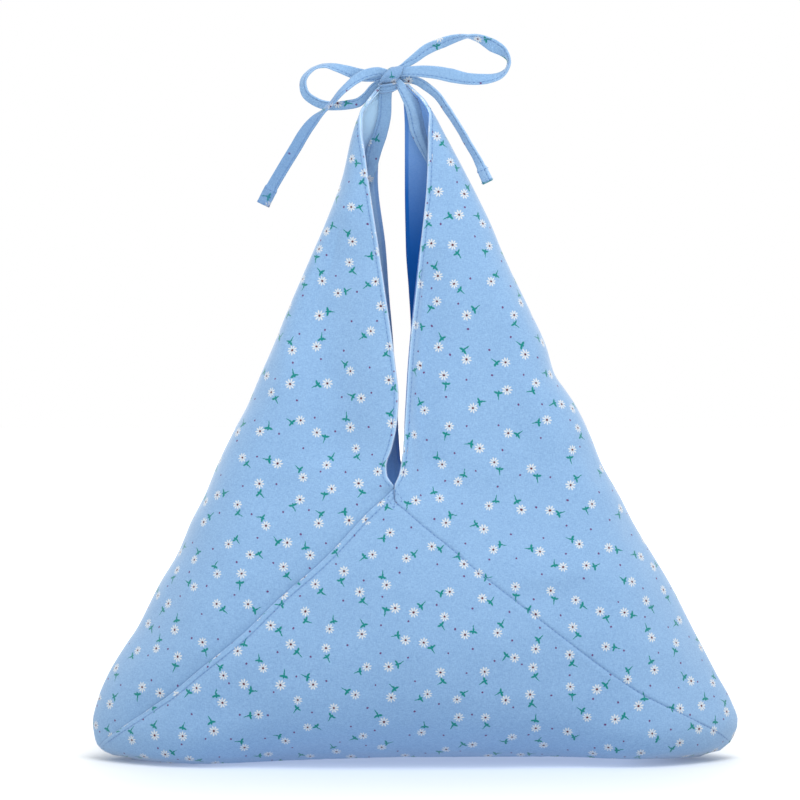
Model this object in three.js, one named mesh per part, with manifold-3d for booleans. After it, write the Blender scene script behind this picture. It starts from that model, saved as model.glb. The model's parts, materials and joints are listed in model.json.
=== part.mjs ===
// Knotted triangle bag, standing filled. One strip of printed cloth and its plain lining are folded
// and sewn into a boat-shaped base with two wings, and two ties hold the wings together in a bow.
// Millimetres. +Z is up and -Y is the front. The origin is on the ground, under the base's middle.

import * as THREE from "three";
import { mergeVertices } from "three/addons/utils/BufferGeometryUtils.js";
import Module from "manifold-3d";

// Cloth
const CLOTH_THICK = 1.2;
const LINING_THICK = 1.0;
const LINING_GAP = 0.8;
const LINING_SETBACK = 1.2;

// Heights
const FRONT_SLIT_Z = 164.4;
const BACK_SLIT_Z = 174.5;
const WING_TOP_Z = 399;
const BASE_ROWS = [0, 1.2, 4, 9, 16, 26];
const BELLY_STEPS = 8;
const WING_STEPS = 13;

// Mesh fineness of the cloth: columns from the side fold to the slit, and points that measure them
const COLUMNS = 8;
const MEASURE_POINTS = 80;

// Mesh fineness of the knot
const CORE_COLUMNS = 12;
const CORE_ROWS = 8;
const BAND_SEGMENTS = 6;

// Vertices nearer than this are one
const MERGE = 1e-4;

// Cosine that limits how far the inner corner of a fold moves in
const SHARPEST_FOLD = 0.5;

// Outline from the front: the side folds at each height
const OUTLINE = [
  { z: 0, left: -171, right: 167 },
  { z: 4, left: -185, right: 179 },
  { z: 11, left: -192, right: 188 },
  { z: 22, left: -194, right: 194 },
  { z: 36, left: -191, right: 190.5 },
  { z: 70, left: -173.5, right: 172 },
  { z: 106, left: -153.6, right: 153.6 },
  { z: 142, left: -135.6, right: 131.4 },
  { z: 160, left: -126.2, right: 122.4 },
  { z: 178, left: -118.8, right: 112.2 },
  { z: 214, left: -100.2, right: 96 },
  { z: 232, left: -92.6, right: 83.6 },
  { z: 268, left: -77.4, right: 70.2 },
  { z: 322, left: -54, right: 45.6 },
  { z: 350, left: -43.6, right: 31.6 },
  { z: 376, left: -37.6, right: 17.8 },
  { z: 388, left: -33.4, right: 11.4 },
  { z: 399, left: -26.4, right: 3.4 },
];

// Free edges of the wings at each height, which start together at the foot of each slit
const SLIT = [
  { z: 0, frontLeft: 0, frontRight: 0, backLeft: 0, backRight: 0 },
  { z: 164.4, frontLeft: -12.6, frontRight: -12.6, backLeft: -8, backRight: -8 },
  { z: 174.5, frontLeft: -17.2, frontRight: -9.2, backLeft: -8, backRight: -8 },
  { z: 188, frontLeft: -13.8, frontRight: -7.2, backLeft: -10, backRight: -6 },
  { z: 219, frontLeft: -10.2, frontRight: -5, backLeft: -11.2, backRight: -3 },
  { z: 255, frontLeft: -13.8, frontRight: -2.4, backLeft: -13.8, backRight: -2.4 },
  { z: 307, frontLeft: -21.6, frontRight: 3, backLeft: -17.6, backRight: -5.4 },
  { z: 350, frontLeft: -28, frontRight: 7.2, backLeft: -22.4, backRight: -6 },
  { z: 376, frontLeft: -32, frontRight: 8, backLeft: -20.5, backRight: -6 },
  { z: 388, frontLeft: -30.4, frontRight: 7.4, backLeft: -18, backRight: -6.3 },
  { z: 399, frontLeft: -23.4, frontRight: 0.4, backLeft: -15.6, backRight: -7 },
];

// Depth of one half at each height: the flat of the face, the ridge at the slit or the middle and its
// half width, the rounding of the side fold, and how full that rounding is
const DEPTH = [
  { z: 0, face: 22, ridge: 36, ridgeWidth: 90, side: 95, fullness: 0.8 },
  { z: 4, face: 31, ridge: 46, ridgeWidth: 90, side: 90, fullness: 0.8 },
  { z: 12, face: 37, ridge: 53, ridgeWidth: 90, side: 85, fullness: 0.8 },
  { z: 30, face: 41, ridge: 58, ridgeWidth: 88, side: 78, fullness: 0.78 },
  { z: 70, face: 41, ridge: 59, ridgeWidth: 78, side: 62, fullness: 0.72 },
  { z: 110, face: 37, ridge: 54, ridgeWidth: 58, side: 48, fullness: 0.62 },
  { z: 145, face: 33, ridge: 49, ridgeWidth: 34, side: 39, fullness: 0.55 },
  { z: 164, face: 31, ridge: 46, ridgeWidth: 22, side: 34, fullness: 0.52 },
  { z: 190, face: 29, ridge: 41, ridgeWidth: 15, side: 30, fullness: 0.5 },
  { z: 214, face: 27, ridge: 37, ridgeWidth: 14, side: 28, fullness: 0.5 },
  { z: 250, face: 24, ridge: 31, ridgeWidth: 13, side: 24, fullness: 0.5 },
  { z: 290, face: 20, ridge: 24.5, ridgeWidth: 12, side: 20, fullness: 0.5 },
  { z: 330, face: 15, ridge: 17.5, ridgeWidth: 10, side: 15, fullness: 0.5 },
  { z: 366, face: 10.5, ridge: 11.3, ridgeWidth: 8, side: 9.5, fullness: 0.5 },
  { z: 388, face: 6.6, ridge: 6.8, ridgeWidth: 6, side: 6, fullness: 0.5 },
  { z: 399, face: 4.6, ridge: 4.6, ridgeWidth: 5, side: 4.2, fullness: 0.5 },
];

// Ties: flat printed strips, and the band of the knot that one of them winds round the other
const TIE_WIDTH = 8;
const TIE_THICK = 1.6;
const TIE_CLEARANCE = 0.4;
const TIE_EDGE = 0.4;
const TIE_STEP = 4;
const KNOT = new THREE.Vector3(-14.1, 0, 411.6);
const KNOT_TILT = THREE.MathUtils.degToRad(-24);
const KNOT_WIDTH = 9;
const KNOT_HEIGHT = 13;
const KNOT_DEPTH = 11;
const KNOT_WALL = 1.8;
const KNOT_CORE_PROUD = 1.5;

// Routes of the ties. turn is how far the flat side turns away from the front, in degrees, and width
// is the share of the full width, where the strip is gathered or folded.
const LEFT_SHANK = [
  { x: -25.4, y: 7.8, z: 355, turn: 0, width: 0.8 },
  { x: -24.6, y: 6.3, z: 366.6, turn: 0, width: 1 },
  { x: -20.9, y: 4.2, z: 377, turn: 0, width: 1 },
  { x: -18.6, y: 2.2, z: 388, turn: 0, width: 1 },
  { x: -18, y: 0.3, z: 399, turn: 0, width: 1 },
  { x: -16.4, y: -0.6, z: 406.6, turn: 0, width: 0.9 },
];
const LEFT_LOOP = [
  { x: -17, y: 3.4, z: 411.4, turn: 0, width: 0.8 },
  { x: -24, y: 4.4, z: 410.6, turn: 0, width: 0.9 },
  { x: -32.8, y: 4.6, z: 411.3, turn: 0, width: 1 },
  { x: -39.8, y: 4.6, z: 413.5, turn: 20, width: 1 },
  { x: -46.9, y: 4.6, z: 415.6, turn: 40, width: 1 },
  { x: -53, y: 4.4, z: 416.8, turn: 65, width: 1 },
  { x: -59.2, y: 4.2, z: 415.6, turn: 80, width: 1 },
  { x: -64.4, y: 4, z: 412.1, turn: 65, width: 1 },
  { x: -67.4, y: 4, z: 406.6, turn: 50, width: 1 },
  { x: -65.4, y: 4, z: 399.8, turn: 35, width: 1 },
  { x: -60.1, y: 4, z: 395.5, turn: 20, width: 1 },
  { x: -53.9, y: 4, z: 393.2, turn: 10, width: 1 },
  { x: -46.9, y: 4, z: 392.8, turn: 0, width: 1 },
  { x: -39.8, y: 4, z: 393.5, turn: 0, width: 1 },
  { x: -33.7, y: 4, z: 395, turn: 10, width: 0.9 },
  { x: -28.8, y: 4, z: 399.4, turn: 15, width: 0.8 },
  { x: -24, y: 3.6, z: 404.6, turn: 0, width: 0.7 },
  { x: -17.5, y: 2.4, z: 407.8, turn: 0, width: 0.7 },
];
const RIGHT_TAIL = [
  { x: -13.6, y: 3.6, z: 408.4, turn: 0, width: 0.6 },
  { x: -4.6, y: 4.2, z: 408.7, turn: 0, width: 0.8 },
  { x: 1.6, y: 3.8, z: 407, turn: 0, width: 0.85 },
  { x: 7.7, y: 3, z: 403.4, turn: 5, width: 0.9 },
  { x: 13.9, y: 2, z: 398.2, turn: 10, width: 0.9 },
  { x: 18.3, y: 1, z: 392, turn: 15, width: 0.9 },
  { x: 22.7, y: 0, z: 385.4, turn: 20, width: 0.9 },
  { x: 27.1, y: -1, z: 378.4, turn: 25, width: 0.9 },
  { x: 31.5, y: -2, z: 370.9, turn: 30, width: 0.9 },
  { x: 35.9, y: -3, z: 363.4, turn: 35, width: 0.9 },
  { x: 39.4, y: -4, z: 356.4, turn: 30, width: 1 },
  { x: 43.4, y: -5, z: 348.4, turn: 20, width: 1 },
];
const RIGHT_SHANK = [
  { x: 5.2, y: 6.1, z: 366.6, turn: 0, width: 0.6 },
  { x: 3.6, y: 5.2, z: 371.7, turn: 0, width: 0.8 },
  { x: 1.6, y: 3.8, z: 378.8, turn: 0, width: 1 },
  { x: 0.2, y: 2.4, z: 386, turn: 0, width: 1 },
  { x: -2.2, y: 0.8, z: 393, turn: 0, width: 1 },
  { x: -5.2, y: 0, z: 399.4, turn: 0, width: 0.95 },
  { x: -8.6, y: -0.8, z: 404.8, turn: 0, width: 0.8 },
  { x: -12.4, y: -0.6, z: 409.4, turn: 0, width: 0.6 },
];
const RIGHT_LOOP = [
  { x: -13, y: -0.4, z: 412.8, turn: 0, width: 0.5 },
  { x: -6.4, y: -0.6, z: 417.2, turn: 0, width: 0.6 },
  { x: -0.2, y: -0.8, z: 421.9, turn: 10, width: 0.9 },
  { x: 6.8, y: -1, z: 427.1, turn: 20, width: 1 },
  { x: 16.6, y: -1, z: 431.1, turn: 35, width: 1 },
  { x: 24.5, y: -1, z: 433.5, turn: 55, width: 1 },
  { x: 31.5, y: -1, z: 434.4, turn: 75, width: 1 },
  { x: 38.5, y: -1, z: 432.9, turn: 45, width: 1 },
  { x: 46.4, y: -1, z: 428.9, turn: 20, width: 1 },
  { x: 52.6, y: -1, z: 425, turn: 40, width: 1 },
  { x: 56, y: -1, z: 420.1, turn: 80, width: 1 },
  { x: 55.1, y: -1, z: 414.8, turn: 80, width: 1 },
  { x: 51.5, y: -1, z: 411.3, turn: 50, width: 1 },
  { x: 46.4, y: -1, z: 409.4, turn: 25, width: 1 },
  { x: 39.4, y: -1, z: 408.7, turn: 5, width: 1 },
  { x: 30.6, y: -1, z: 409.1, turn: 0, width: 1 },
  { x: 21.8, y: -1, z: 410.9, turn: 0, width: 1 },
  { x: 13, y: -1, z: 412.6, turn: 0, width: 1 },
  { x: 4.2, y: -1, z: 413.4, turn: 0, width: 0.95 },
  { x: -4, y: -0.8, z: 413.4, turn: 0, width: 0.8 },
  { x: -13, y: -0.4, z: 411.8, turn: 0, width: 0.5 },
];
const LEFT_TAIL = [
  { x: -14, y: -0.4, z: 412.6, turn: 0, width: 0.5 },
  { x: -22.2, y: -0.8, z: 413.3, turn: 0, width: 0.7 },
  { x: -29.2, y: -1.4, z: 411.8, turn: 0, width: 0.8 },
  { x: -35.4, y: -2, z: 408.6, turn: 10, width: 0.8 },
  { x: -40.7, y: -2.4, z: 404.2, turn: 20, width: 0.8 },
  { x: -46, y: -2.8, z: 399, turn: 35, width: 0.8 },
  { x: -50.3, y: -3, z: 393.7, turn: 55, width: 0.8 },
  { x: -54.2, y: -3.2, z: 390, turn: 70, width: 0.8 },
  { x: -58.3, y: -3.6, z: 386.4, turn: 40, width: 0.9 },
  { x: -63.5, y: -4, z: 381.2, turn: 15, width: 1 },
  { x: -68, y: -4.4, z: 375.2, turn: 5, width: 1 },
  { x: -72.4, y: -4.8, z: 368.2, turn: 0, width: 1 },
  { x: -81, y: -5.4, z: 354.6, turn: 0, width: 1 },
  { x: -88.2, y: -5.8, z: 342.6, turn: 0, width: 1.1 },
  { x: -92, y: -6, z: 335.4, turn: 0, width: 1.1 },
];

const FRONT = -1;
const BACK = 1;
const LEFT = -1;
const RIGHT = 1;

const wasm = await Module();
wasm.setup();

// A smooth curve through one column of a table, without overshoot
function columnCurve(rows, key) {
  const at = rows.map((row) => row.z);
  const value = rows.map((row) => row[key]);
  const rise = at.slice(1).map((z, i) => (value[i + 1] - value[i]) / (z - at[i]));
  const slope = value.map((_, i) => {
    if (i === 0) return rise[0];
    if (i === rise.length) return rise[i - 1];
    if (rise[i - 1] * rise[i] <= 0) return 0;
    return (2 * rise[i - 1] * rise[i]) / (rise[i - 1] + rise[i]);
  });
  return (z) => {
    const last = at.length - 2;
    const i = Math.min(last, Math.max(0, at.findIndex((level) => level > z) - 1));
    const row = z >= at[last] ? last : i;
    const span = at[row + 1] - at[row];
    const t = THREE.MathUtils.clamp((z - at[row]) / span, 0, 1);
    const stay = (1 + 2 * t) * (1 - t) ** 2 * value[row] + t * t * (3 - 2 * t) * value[row + 1];
    return stay + span * t * (1 - t) * ((1 - t) * slope[row] - t * slope[row + 1]);
  };
}

const outline = {
  [LEFT]: columnCurve(OUTLINE, "left"),
  [RIGHT]: columnCurve(OUTLINE, "right"),
};
const slitEdge = {
  [FRONT]: {
    [LEFT]: columnCurve(SLIT, "frontLeft"),
    [RIGHT]: columnCurve(SLIT, "frontRight"),
  },
  [BACK]: {
    [LEFT]: columnCurve(SLIT, "backLeft"),
    [RIGHT]: columnCurve(SLIT, "backRight"),
  },
};
const depth = {
  face: columnCurve(DEPTH, "face"),
  ridge: columnCurve(DEPTH, "ridge"),
  ridgeWidth: columnCurve(DEPTH, "ridgeWidth"),
  side: columnCurve(DEPTH, "side"),
  fullness: columnCurve(DEPTH, "fullness"),
};

// How far the cloth stands in front of, or behind, the bag's middle plane
function clothDepth(z, face, side, x) {
  const inward = Math.min(Math.abs(x - outline[side](z)) / depth.side(z), 1);
  const rounding = (1 - (1 - inward) ** 2) ** depth.fullness(z);
  const fromRidge = (x - slitEdge[face][side](z)) / depth.ridgeWidth(z);
  const ridge = (depth.ridge(z) - depth.face(z)) * Math.exp(-(fromRidge ** 2) / 2);
  return rounding * (depth.face(z) + ridge);
}

// Points of one quarter of a section, evenly spaced from the side fold to the slit or the middle
function quarterSection(z, face, side, setback) {
  const fold = outline[side](z);
  const edge = slitEdge[face][side](z) + side * setback;
  const path = [];
  for (let i = 0; i <= MEASURE_POINTS; i++) {
    const share = (i / MEASURE_POINTS) ** 2;
    const x = THREE.MathUtils.lerp(fold, edge, share);
    path.push(new THREE.Vector3(x, face * clothDepth(z, face, side, x), z));
  }
  const run = [0];
  for (let i = 1; i < path.length; i++) run.push(run[i - 1] + path[i].distanceTo(path[i - 1]));
  const points = [];
  for (let column = 0; column <= COLUMNS; column++) {
    const want = (run.at(-1) * column) / COLUMNS;
    const i = Math.max(1, run.findIndex((length) => length >= want - 1e-9));
    const share = (want - run[i - 1]) / (run[i] - run[i - 1]);
    points.push(path[i - 1].clone().lerp(path[i], share));
  }
  return points;
}

// Heights of the sections from the base to the wing tips
function sectionHeights(setback) {
  const lift = (z) => (z === WING_TOP_Z ? z - setback : z);
  const heights = [...BASE_ROWS];
  const evenly = (to, steps) => {
    const from = heights.at(-1);
    for (let i = 1; i <= steps; i++) heights.push(lift(from + ((to - from) * i) / steps));
  };
  evenly(FRONT_SLIT_Z, BELLY_STEPS);
  evenly(BACK_SLIT_Z, 1);
  evenly(WING_TOP_Z, WING_STEPS);
  return heights;
}

// One sheet of the bag as a closed shell: its outer face lies `inset` inside the bag's outer face,
// and its free edges stop `setback` short of the hem.
function clothShell(inset, thick, setback) {
  const heights = sectionHeights(setback);
  const points = [];
  const index = new Map();
  const vertex = (face, side, row, column) => {
    let key = `${face},${side},${row},${column}`;
    const slitRow = heights.indexOf(face === FRONT ? FRONT_SLIT_Z : BACK_SLIT_Z);
    if (column === 0) key = `fold,${side},${row}`;
    if (column === COLUMNS && row <= slitRow) key = `middle,${face},${row}`;
    if (!index.has(key)) {
      const gap = row > slitRow ? setback : 0;
      index.set(key, points.length);
      points.push(quarterSection(heights[row], face, side, gap)[column]);
    }
    return index.get(key);
  };

  const skin = [];
  const quad = (a, b, c, d) => {
    const corners = [[a, b, c], [a, c, d]];
    skin.push(...corners.filter((three) => new Set(three).size === 3));
  };
  for (const face of [FRONT, BACK]) {
    for (const side of [LEFT, RIGHT]) {
      const turned = face * side < 0;
      for (let row = 0; row < heights.length - 1; row++) {
        for (let column = 0; column < COLUMNS; column++) {
          const a = vertex(face, side, row, column);
          const b = vertex(face, side, row, column + 1);
          const c = vertex(face, side, row + 1, column + 1);
          const d = vertex(face, side, row + 1, column);
          if (turned) quad(d, c, b, a);
          else quad(a, b, c, d);
        }
      }
    }
  }
  for (const side of [LEFT, RIGHT]) {
    for (let column = 0; column < COLUMNS; column++) {
      const a = vertex(FRONT, side, 0, column);
      const b = vertex(FRONT, side, 0, column + 1);
      const c = vertex(BACK, side, 0, column + 1);
      const d = vertex(BACK, side, 0, column);
      if (side === LEFT) quad(d, c, b, a);
      else quad(a, b, c, d);
    }
  }
  return thicken(points, skin, inset, thick);
}

// Closes a sheet of triangles into a shell between two depths below it. At a fold the inner corners
// move further in, so that the wall stays equally thick.
function thicken(points, skin, inset, thick) {
  const triangle = new THREE.Triangle();
  const facets = skin.map(([a, b, c]) => {
    triangle.set(points[a], points[b], points[c]);
    return { normal: triangle.getNormal(new THREE.Vector3()), area: triangle.getArea() };
  });
  const normals = points.map(() => new THREE.Vector3());
  skin.forEach((corners, i) => {
    for (const corner of corners) normals[corner].addScaledVector(facets[i].normal, facets[i].area);
  });
  normals.forEach((normal) => normal.normalize());
  const facing = points.map(() => 1);
  skin.forEach((corners, i) => {
    for (const corner of corners) {
      facing[corner] = Math.min(facing[corner], facets[i].normal.dot(normals[corner]));
    }
  });
  const layer = (below) =>
    points.map((point, i) => {
      const reach = below / Math.max(facing[i], SHARPEST_FOLD);
      const inner = point.clone().addScaledVector(normals[i], -reach);
      if (point.z === 0) inner.z = below;
      return inner;
    });
  const all = [...layer(inset), ...layer(inset + thick)];
  const inside = points.length;
  const faces = [];
  const edges = new Map();
  for (const [a, b, c] of skin) {
    faces.push([a, b, c], [inside + a, inside + c, inside + b]);
    for (const [from, to] of [[a, b], [b, c], [c, a]]) {
      if (!edges.delete(`${to},${from}`)) edges.set(`${from},${to}`, [from, to]);
    }
  }
  for (const [from, to] of edges.values()) {
    faces.push([to, from, inside + from], [to, inside + from, inside + to]);
  }
  return meshGeometry(all, faces.flat());
}

function meshGeometry(points, triangles) {
  const geometry = new THREE.BufferGeometry();
  const numbers = points.flatMap((point) => point.toArray());
  geometry.setAttribute("position", new THREE.Float32BufferAttribute(numbers, 3));
  geometry.setIndex(triangles);
  return geometry;
}

// A flat strip along a route, with softened long edges, grown by `grow` on every side
function stripGeometry(route, grow = 0) {
  const curve = new THREE.CatmullRomCurve3(
    route.map((row) => new THREE.Vector3(row.x, row.y, row.z)),
    false,
    "centripetal",
  );
  const steps = Math.round(curve.getLength() / TIE_STEP);
  const rowAt = (share, key) => {
    const place = share * (route.length - 1);
    const i = Math.min(route.length - 2, Math.floor(place));
    return THREE.MathUtils.lerp(route[i][key], route[i + 1][key], place - i);
  };
  const rings = [];
  for (let i = 0; i <= steps; i++) {
    const share = i / steps;
    const along = curve.getTangent(share);
    const outwards = new THREE.Vector3(0, 1, 0).addScaledVector(along, -along.y).normalize();
    const across = new THREE.Vector3().crossVectors(outwards, along);
    const turn = THREE.MathUtils.degToRad(rowAt(share, "turn"));
    across.applyAxisAngle(along, turn);
    outwards.applyAxisAngle(along, turn);
    const half = (TIE_WIDTH * rowAt(share, "width")) / 2 + grow;
    const thick = TIE_THICK / 2 + grow;
    const place = curve.getPoint(share);
    if (i === 0) place.addScaledVector(along, -grow);
    if (i === steps) place.addScaledVector(along, grow);
    const soft = half - TIE_EDGE;
    const section = [
      [soft, -thick],
      [half, 0],
      [soft, thick],
      [-soft, thick],
      [-half, 0],
      [-soft, -thick],
    ];
    rings.push(section.map(([u, v]) =>
      place.clone().addScaledVector(across, u).addScaledVector(outwards, v)));
  }
  const sides = rings[0].length;
  const triangles = [];
  for (let i = 0; i < steps; i++) {
    for (let j = 0; j < sides; j++) {
      const next = (j + 1) % sides;
      triangles.push(i * sides + j, i * sides + next, (i + 1) * sides + next);
      triangles.push(i * sides + j, (i + 1) * sides + next, (i + 1) * sides + j);
    }
  }
  for (let j = 1; j < sides - 1; j++) {
    triangles.push(0, j + 1, j);
    triangles.push(steps * sides, steps * sides + j, steps * sides + j + 1);
  }
  return meshGeometry(rings.flat(), triangles);
}

// The knot's core, an egg that the band winds round
function coreGeometry(grow = 0) {
  const geometry = new THREE.SphereGeometry(1, CORE_COLUMNS, CORE_ROWS);
  geometry.scale(
    KNOT_WIDTH / 2 + KNOT_CORE_PROUD + grow,
    KNOT_DEPTH / 2 - KNOT_WALL - TIE_CLEARANCE + grow,
    KNOT_HEIGHT / 2 - KNOT_WALL - TIE_CLEARANCE + grow,
  );
  return placeAtKnot(geometry);
}

// The band round the core, an oval sleeve
function bandGeometry() {
  const shape = new THREE.Shape();
  shape.absellipse(0, 0, KNOT_HEIGHT / 2, KNOT_DEPTH / 2, 0, 2 * Math.PI);
  const hole = new THREE.Path();
  hole.absellipse(0, 0, KNOT_HEIGHT / 2 - KNOT_WALL, KNOT_DEPTH / 2 - KNOT_WALL, 0, 2 * Math.PI);
  shape.holes.push(hole);
  const geometry = new THREE.ExtrudeGeometry(shape, {
    depth: KNOT_WIDTH,
    bevelEnabled: false,
    curveSegments: BAND_SEGMENTS,
  });
  geometry.translate(0, 0, -KNOT_WIDTH / 2);
  geometry.rotateY(Math.PI / 2);
  return placeAtKnot(geometry);
}

function placeAtKnot(geometry) {
  geometry.rotateY(KNOT_TILT);
  geometry.translate(KNOT.x, KNOT.y, KNOT.z);
  return geometry;
}

function solidOf(geometry) {
  const bare = geometry.clone();
  bare.deleteAttribute("normal");
  bare.deleteAttribute("uv");
  const merged = mergeVertices(bare, MERGE);
  return new wasm.Manifold(
    new wasm.Mesh({
      numProp: 3,
      vertProperties: merged.attributes.position.array,
      triVerts: new Uint32Array(merged.index.array),
    }),
  );
}

function geometryOf(solid) {
  const mesh = solid.getMesh();
  const geometry = new THREE.BufferGeometry();
  geometry.setAttribute("position", new THREE.Float32BufferAttribute(mesh.vertProperties, 3));
  geometry.setIndex([...mesh.triVerts]);
  return geometry;
}

const joined = (geometries) => geometries.map(solidOf).reduce((all, next) => all.add(next));

// The right tie: core, shank, loop and free end in one piece
function rightTie(grow = 0) {
  const strips = [RIGHT_SHANK, RIGHT_LOOP, LEFT_TAIL].map((route) => stripGeometry(route, grow));
  return joined([coreGeometry(grow), ...strips]);
}

// The left tie: band, shank, loop and free end in one piece, clear of the right tie
function leftTie() {
  const strips = [LEFT_SHANK, LEFT_LOOP, RIGHT_TAIL].map((route) => stripGeometry(route));
  return joined([bandGeometry(), ...strips]).subtract(rightTie(TIE_CLEARANCE));
}

function clothMesh(name, geometry, color, roughness) {
  const mesh = new THREE.Mesh(geometry, new THREE.MeshStandardMaterial({ color, roughness, metalness: 0 }));
  mesh.name = name;
  return mesh;
}

const liningInset = CLOTH_THICK + LINING_GAP;
const bag = new THREE.Group();
bag.name = "knotted_bag";
bag.add(clothMesh("body", clothShell(0, CLOTH_THICK, 0), 0x96bbea, 0.9));
bag.add(clothMesh("lining", clothShell(liningInset, LINING_THICK, LINING_SETBACK), 0xa9c9ec, 0.9));
bag.add(clothMesh("tie_left", geometryOf(leftTie()), 0x8fb4e6, 0.9));
bag.add(clothMesh("tie_right", geometryOf(rightTie()), 0x86ade2, 0.9));

export default bag;
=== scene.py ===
"""A knotted triangle bag in printed cotton, standing filled, with its plain lining and its bow.

Metres. +Z is up, -Y is the front and the origin is on the ground, under the base's middle.
"""

import json
import logging
import math
from dataclasses import dataclass, field
from enum import Enum
from typing import Any, NamedTuple, Sequence

import bmesh
import bpy
import numpy as np
from bpy.types import ID, Material, Mesh, Node, NodeSocket, NodeTree, Object
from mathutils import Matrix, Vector, noise
from mathutils.bvhtree import BVHTree

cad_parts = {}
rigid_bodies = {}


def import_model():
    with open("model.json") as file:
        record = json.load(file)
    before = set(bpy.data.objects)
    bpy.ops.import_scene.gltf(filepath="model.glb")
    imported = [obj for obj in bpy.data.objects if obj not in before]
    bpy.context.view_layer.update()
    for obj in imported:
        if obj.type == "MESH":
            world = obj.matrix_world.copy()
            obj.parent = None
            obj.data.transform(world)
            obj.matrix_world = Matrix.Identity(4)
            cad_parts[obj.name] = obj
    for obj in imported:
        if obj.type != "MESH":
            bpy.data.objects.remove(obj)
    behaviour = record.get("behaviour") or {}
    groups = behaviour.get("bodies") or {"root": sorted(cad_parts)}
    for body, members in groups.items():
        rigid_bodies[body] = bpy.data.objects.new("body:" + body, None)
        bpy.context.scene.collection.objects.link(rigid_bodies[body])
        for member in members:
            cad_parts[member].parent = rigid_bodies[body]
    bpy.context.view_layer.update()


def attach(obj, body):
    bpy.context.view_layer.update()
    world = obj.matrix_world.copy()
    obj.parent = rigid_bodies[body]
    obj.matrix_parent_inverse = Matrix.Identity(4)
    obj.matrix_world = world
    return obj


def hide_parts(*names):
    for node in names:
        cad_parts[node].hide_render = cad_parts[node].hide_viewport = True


LOG = logging.getLogger("bento_bag")
MM = 0.001
ROOT = "root"
SEED = 7
TINY = 1e-12
SAME_PLACE = 1e-6
TIE_PRINT = {"motif_room": 0.0215, "dot_room": 0.022, "turn_cost": 0.0035}

Array = np.ndarray
Faces = Sequence[tuple[int, ...]]
Color = tuple[int, int, int]
Pair = tuple[float, float]
Place = tuple[float, float, float]


class Face(Enum):
    """Which way a part of the cloth faces; the value is the sign of its depth."""

    FRONT = -1
    BACK = 1


class Side(Enum):
    """Left or right, as seen from the front."""

    LEFT = -1
    RIGHT = 1


class Seam(Enum):
    """How two panels meet below a slit."""

    HEM = "hem lapped over the wing"
    ROW = "row of stitches on uncut cloth"


class Patch(Enum):
    """The stretches of cloth that the print follows."""

    LEFT_FRONT = 0
    BASE_FRONT = 1
    RIGHT_FRONT = 2
    LEFT_BACK = 3
    BASE_BACK = 4
    RIGHT_BACK = 5
    UNDER = 6
    TIE_FRONT = 7
    TIE_BACK = 8


class OutlineRow(NamedTuple):
    """Side folds at one height."""

    z: float
    left: float
    right: float


class SlitRow(NamedTuple):
    """Free edges of the wings at one height."""

    z: float
    front_left: float
    front_right: float
    back_left: float
    back_right: float


class DepthRow(NamedTuple):
    """Depth of one half at one height, and the rounding of its side fold."""

    z: float
    face: float
    ridge: float
    ridge_width: float
    side: float
    fullness: float


class SeamRow(NamedTuple):
    """A seam's way from the slit foot to the corner, both as shares: of the height and across."""

    height: float
    across: float


class LiftRow(NamedTuple):
    """How far the front bottom edge is off the ground."""

    x: float
    lift: float


class RouteRow(NamedTuple):
    """A point on a tie, its flat side's turn from the front in degrees, its width share and fold.

    The stitched row's place goes from -1 at one edge of the tie to 1 at the other.
    """

    x: float
    y: float
    z: float
    turn: float
    width: float
    fold: float = 0
    row: float = -0.56


def table(kind: Any, rows: Sequence[tuple[float, ...]]) -> tuple[Any, ...]:
    """Return rows of plain numbers as rows with that kind's named columns."""
    return tuple(kind(*row) for row in rows)


OUTLINE = table(OutlineRow, (
    (0, -0.172, 0.171),
    (0.004, -0.187, 0.184),
    (0.011, -0.1925, 0.1913),
    (0.022, -0.1940, 0.1945),
    (0.036, -0.191, 0.190),
    (0.0516, -0.1846, 0.1815),
    (0.070, -0.1735, 0.172),
    (0.0786, -0.1676, 0.1674),
    (0.106, -0.1536, 0.1534),
    (0.1236, -0.1430, 0.1428),
    (0.1326, -0.1390, 0.1372),
    (0.142, -0.1352, 0.1316),
    (0.160, -0.126, 0.1224),
    (0.178, -0.1186, 0.1122),
    (0.196, -0.1098, 0.105),
    (0.214, -0.1002, 0.096),
    (0.2226, -0.0966, 0.0902),
    (0.232, -0.0926, 0.0838),
    (0.2496, -0.0848, 0.0784),
    (0.268, -0.0774, 0.0700),
    (0.3036, -0.0620, 0.0530),
    (0.322, -0.054, 0.0454),
    (0.350, -0.0436, 0.0316),
    (0.376, -0.0376, 0.0178),
    (0.388, -0.0334, 0.0114),
    (0.396, -0.0288, 0.0060),
    (0.406, -0.0206, -0.0036),
))

SLIT = table(SlitRow, (
    (0, 0, 0, 0, 0),
    (0.1678, -0.0124, -0.0124, -0.008, -0.008),
    (0.1745, -0.0166, -0.0098, -0.008, -0.008),
    (0.180, -0.0172, -0.0086, -0.0092, -0.0072),
    (0.1906, -0.0139, -0.0071, -0.0100, -0.0058),
    (0.206, -0.0108, -0.0061, -0.0108, -0.0040),
    (0.221, -0.0099, -0.0051, -0.0112, -0.0030),
    (0.2365, -0.0114, -0.0042, -0.0124, -0.0026),
    (0.2565, -0.0140, -0.0026, -0.0138, -0.0024),
    (0.281, -0.0177, 0.0002, -0.0158, -0.0036),
    (0.3073, -0.0215, 0.0029, -0.0176, -0.0054),
    (0.350, -0.0280, 0.0071, -0.0224, -0.006),
    (0.3666, -0.0302, 0.0076, -0.0216, -0.006),
    (0.378, -0.0322, 0.0078, -0.0202, -0.006),
    (0.388, -0.0327, 0.0086, -0.018, -0.0063),
    (0.396, -0.0276, 0.0048, -0.0162, -0.0068),
    (0.406, -0.0196, -0.0050, -0.0150, -0.0066),
))
FOOT_Z = {Face.FRONT: 0.1678, Face.BACK: 0.1745}
WING_TOP_Z = 0.406

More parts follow.
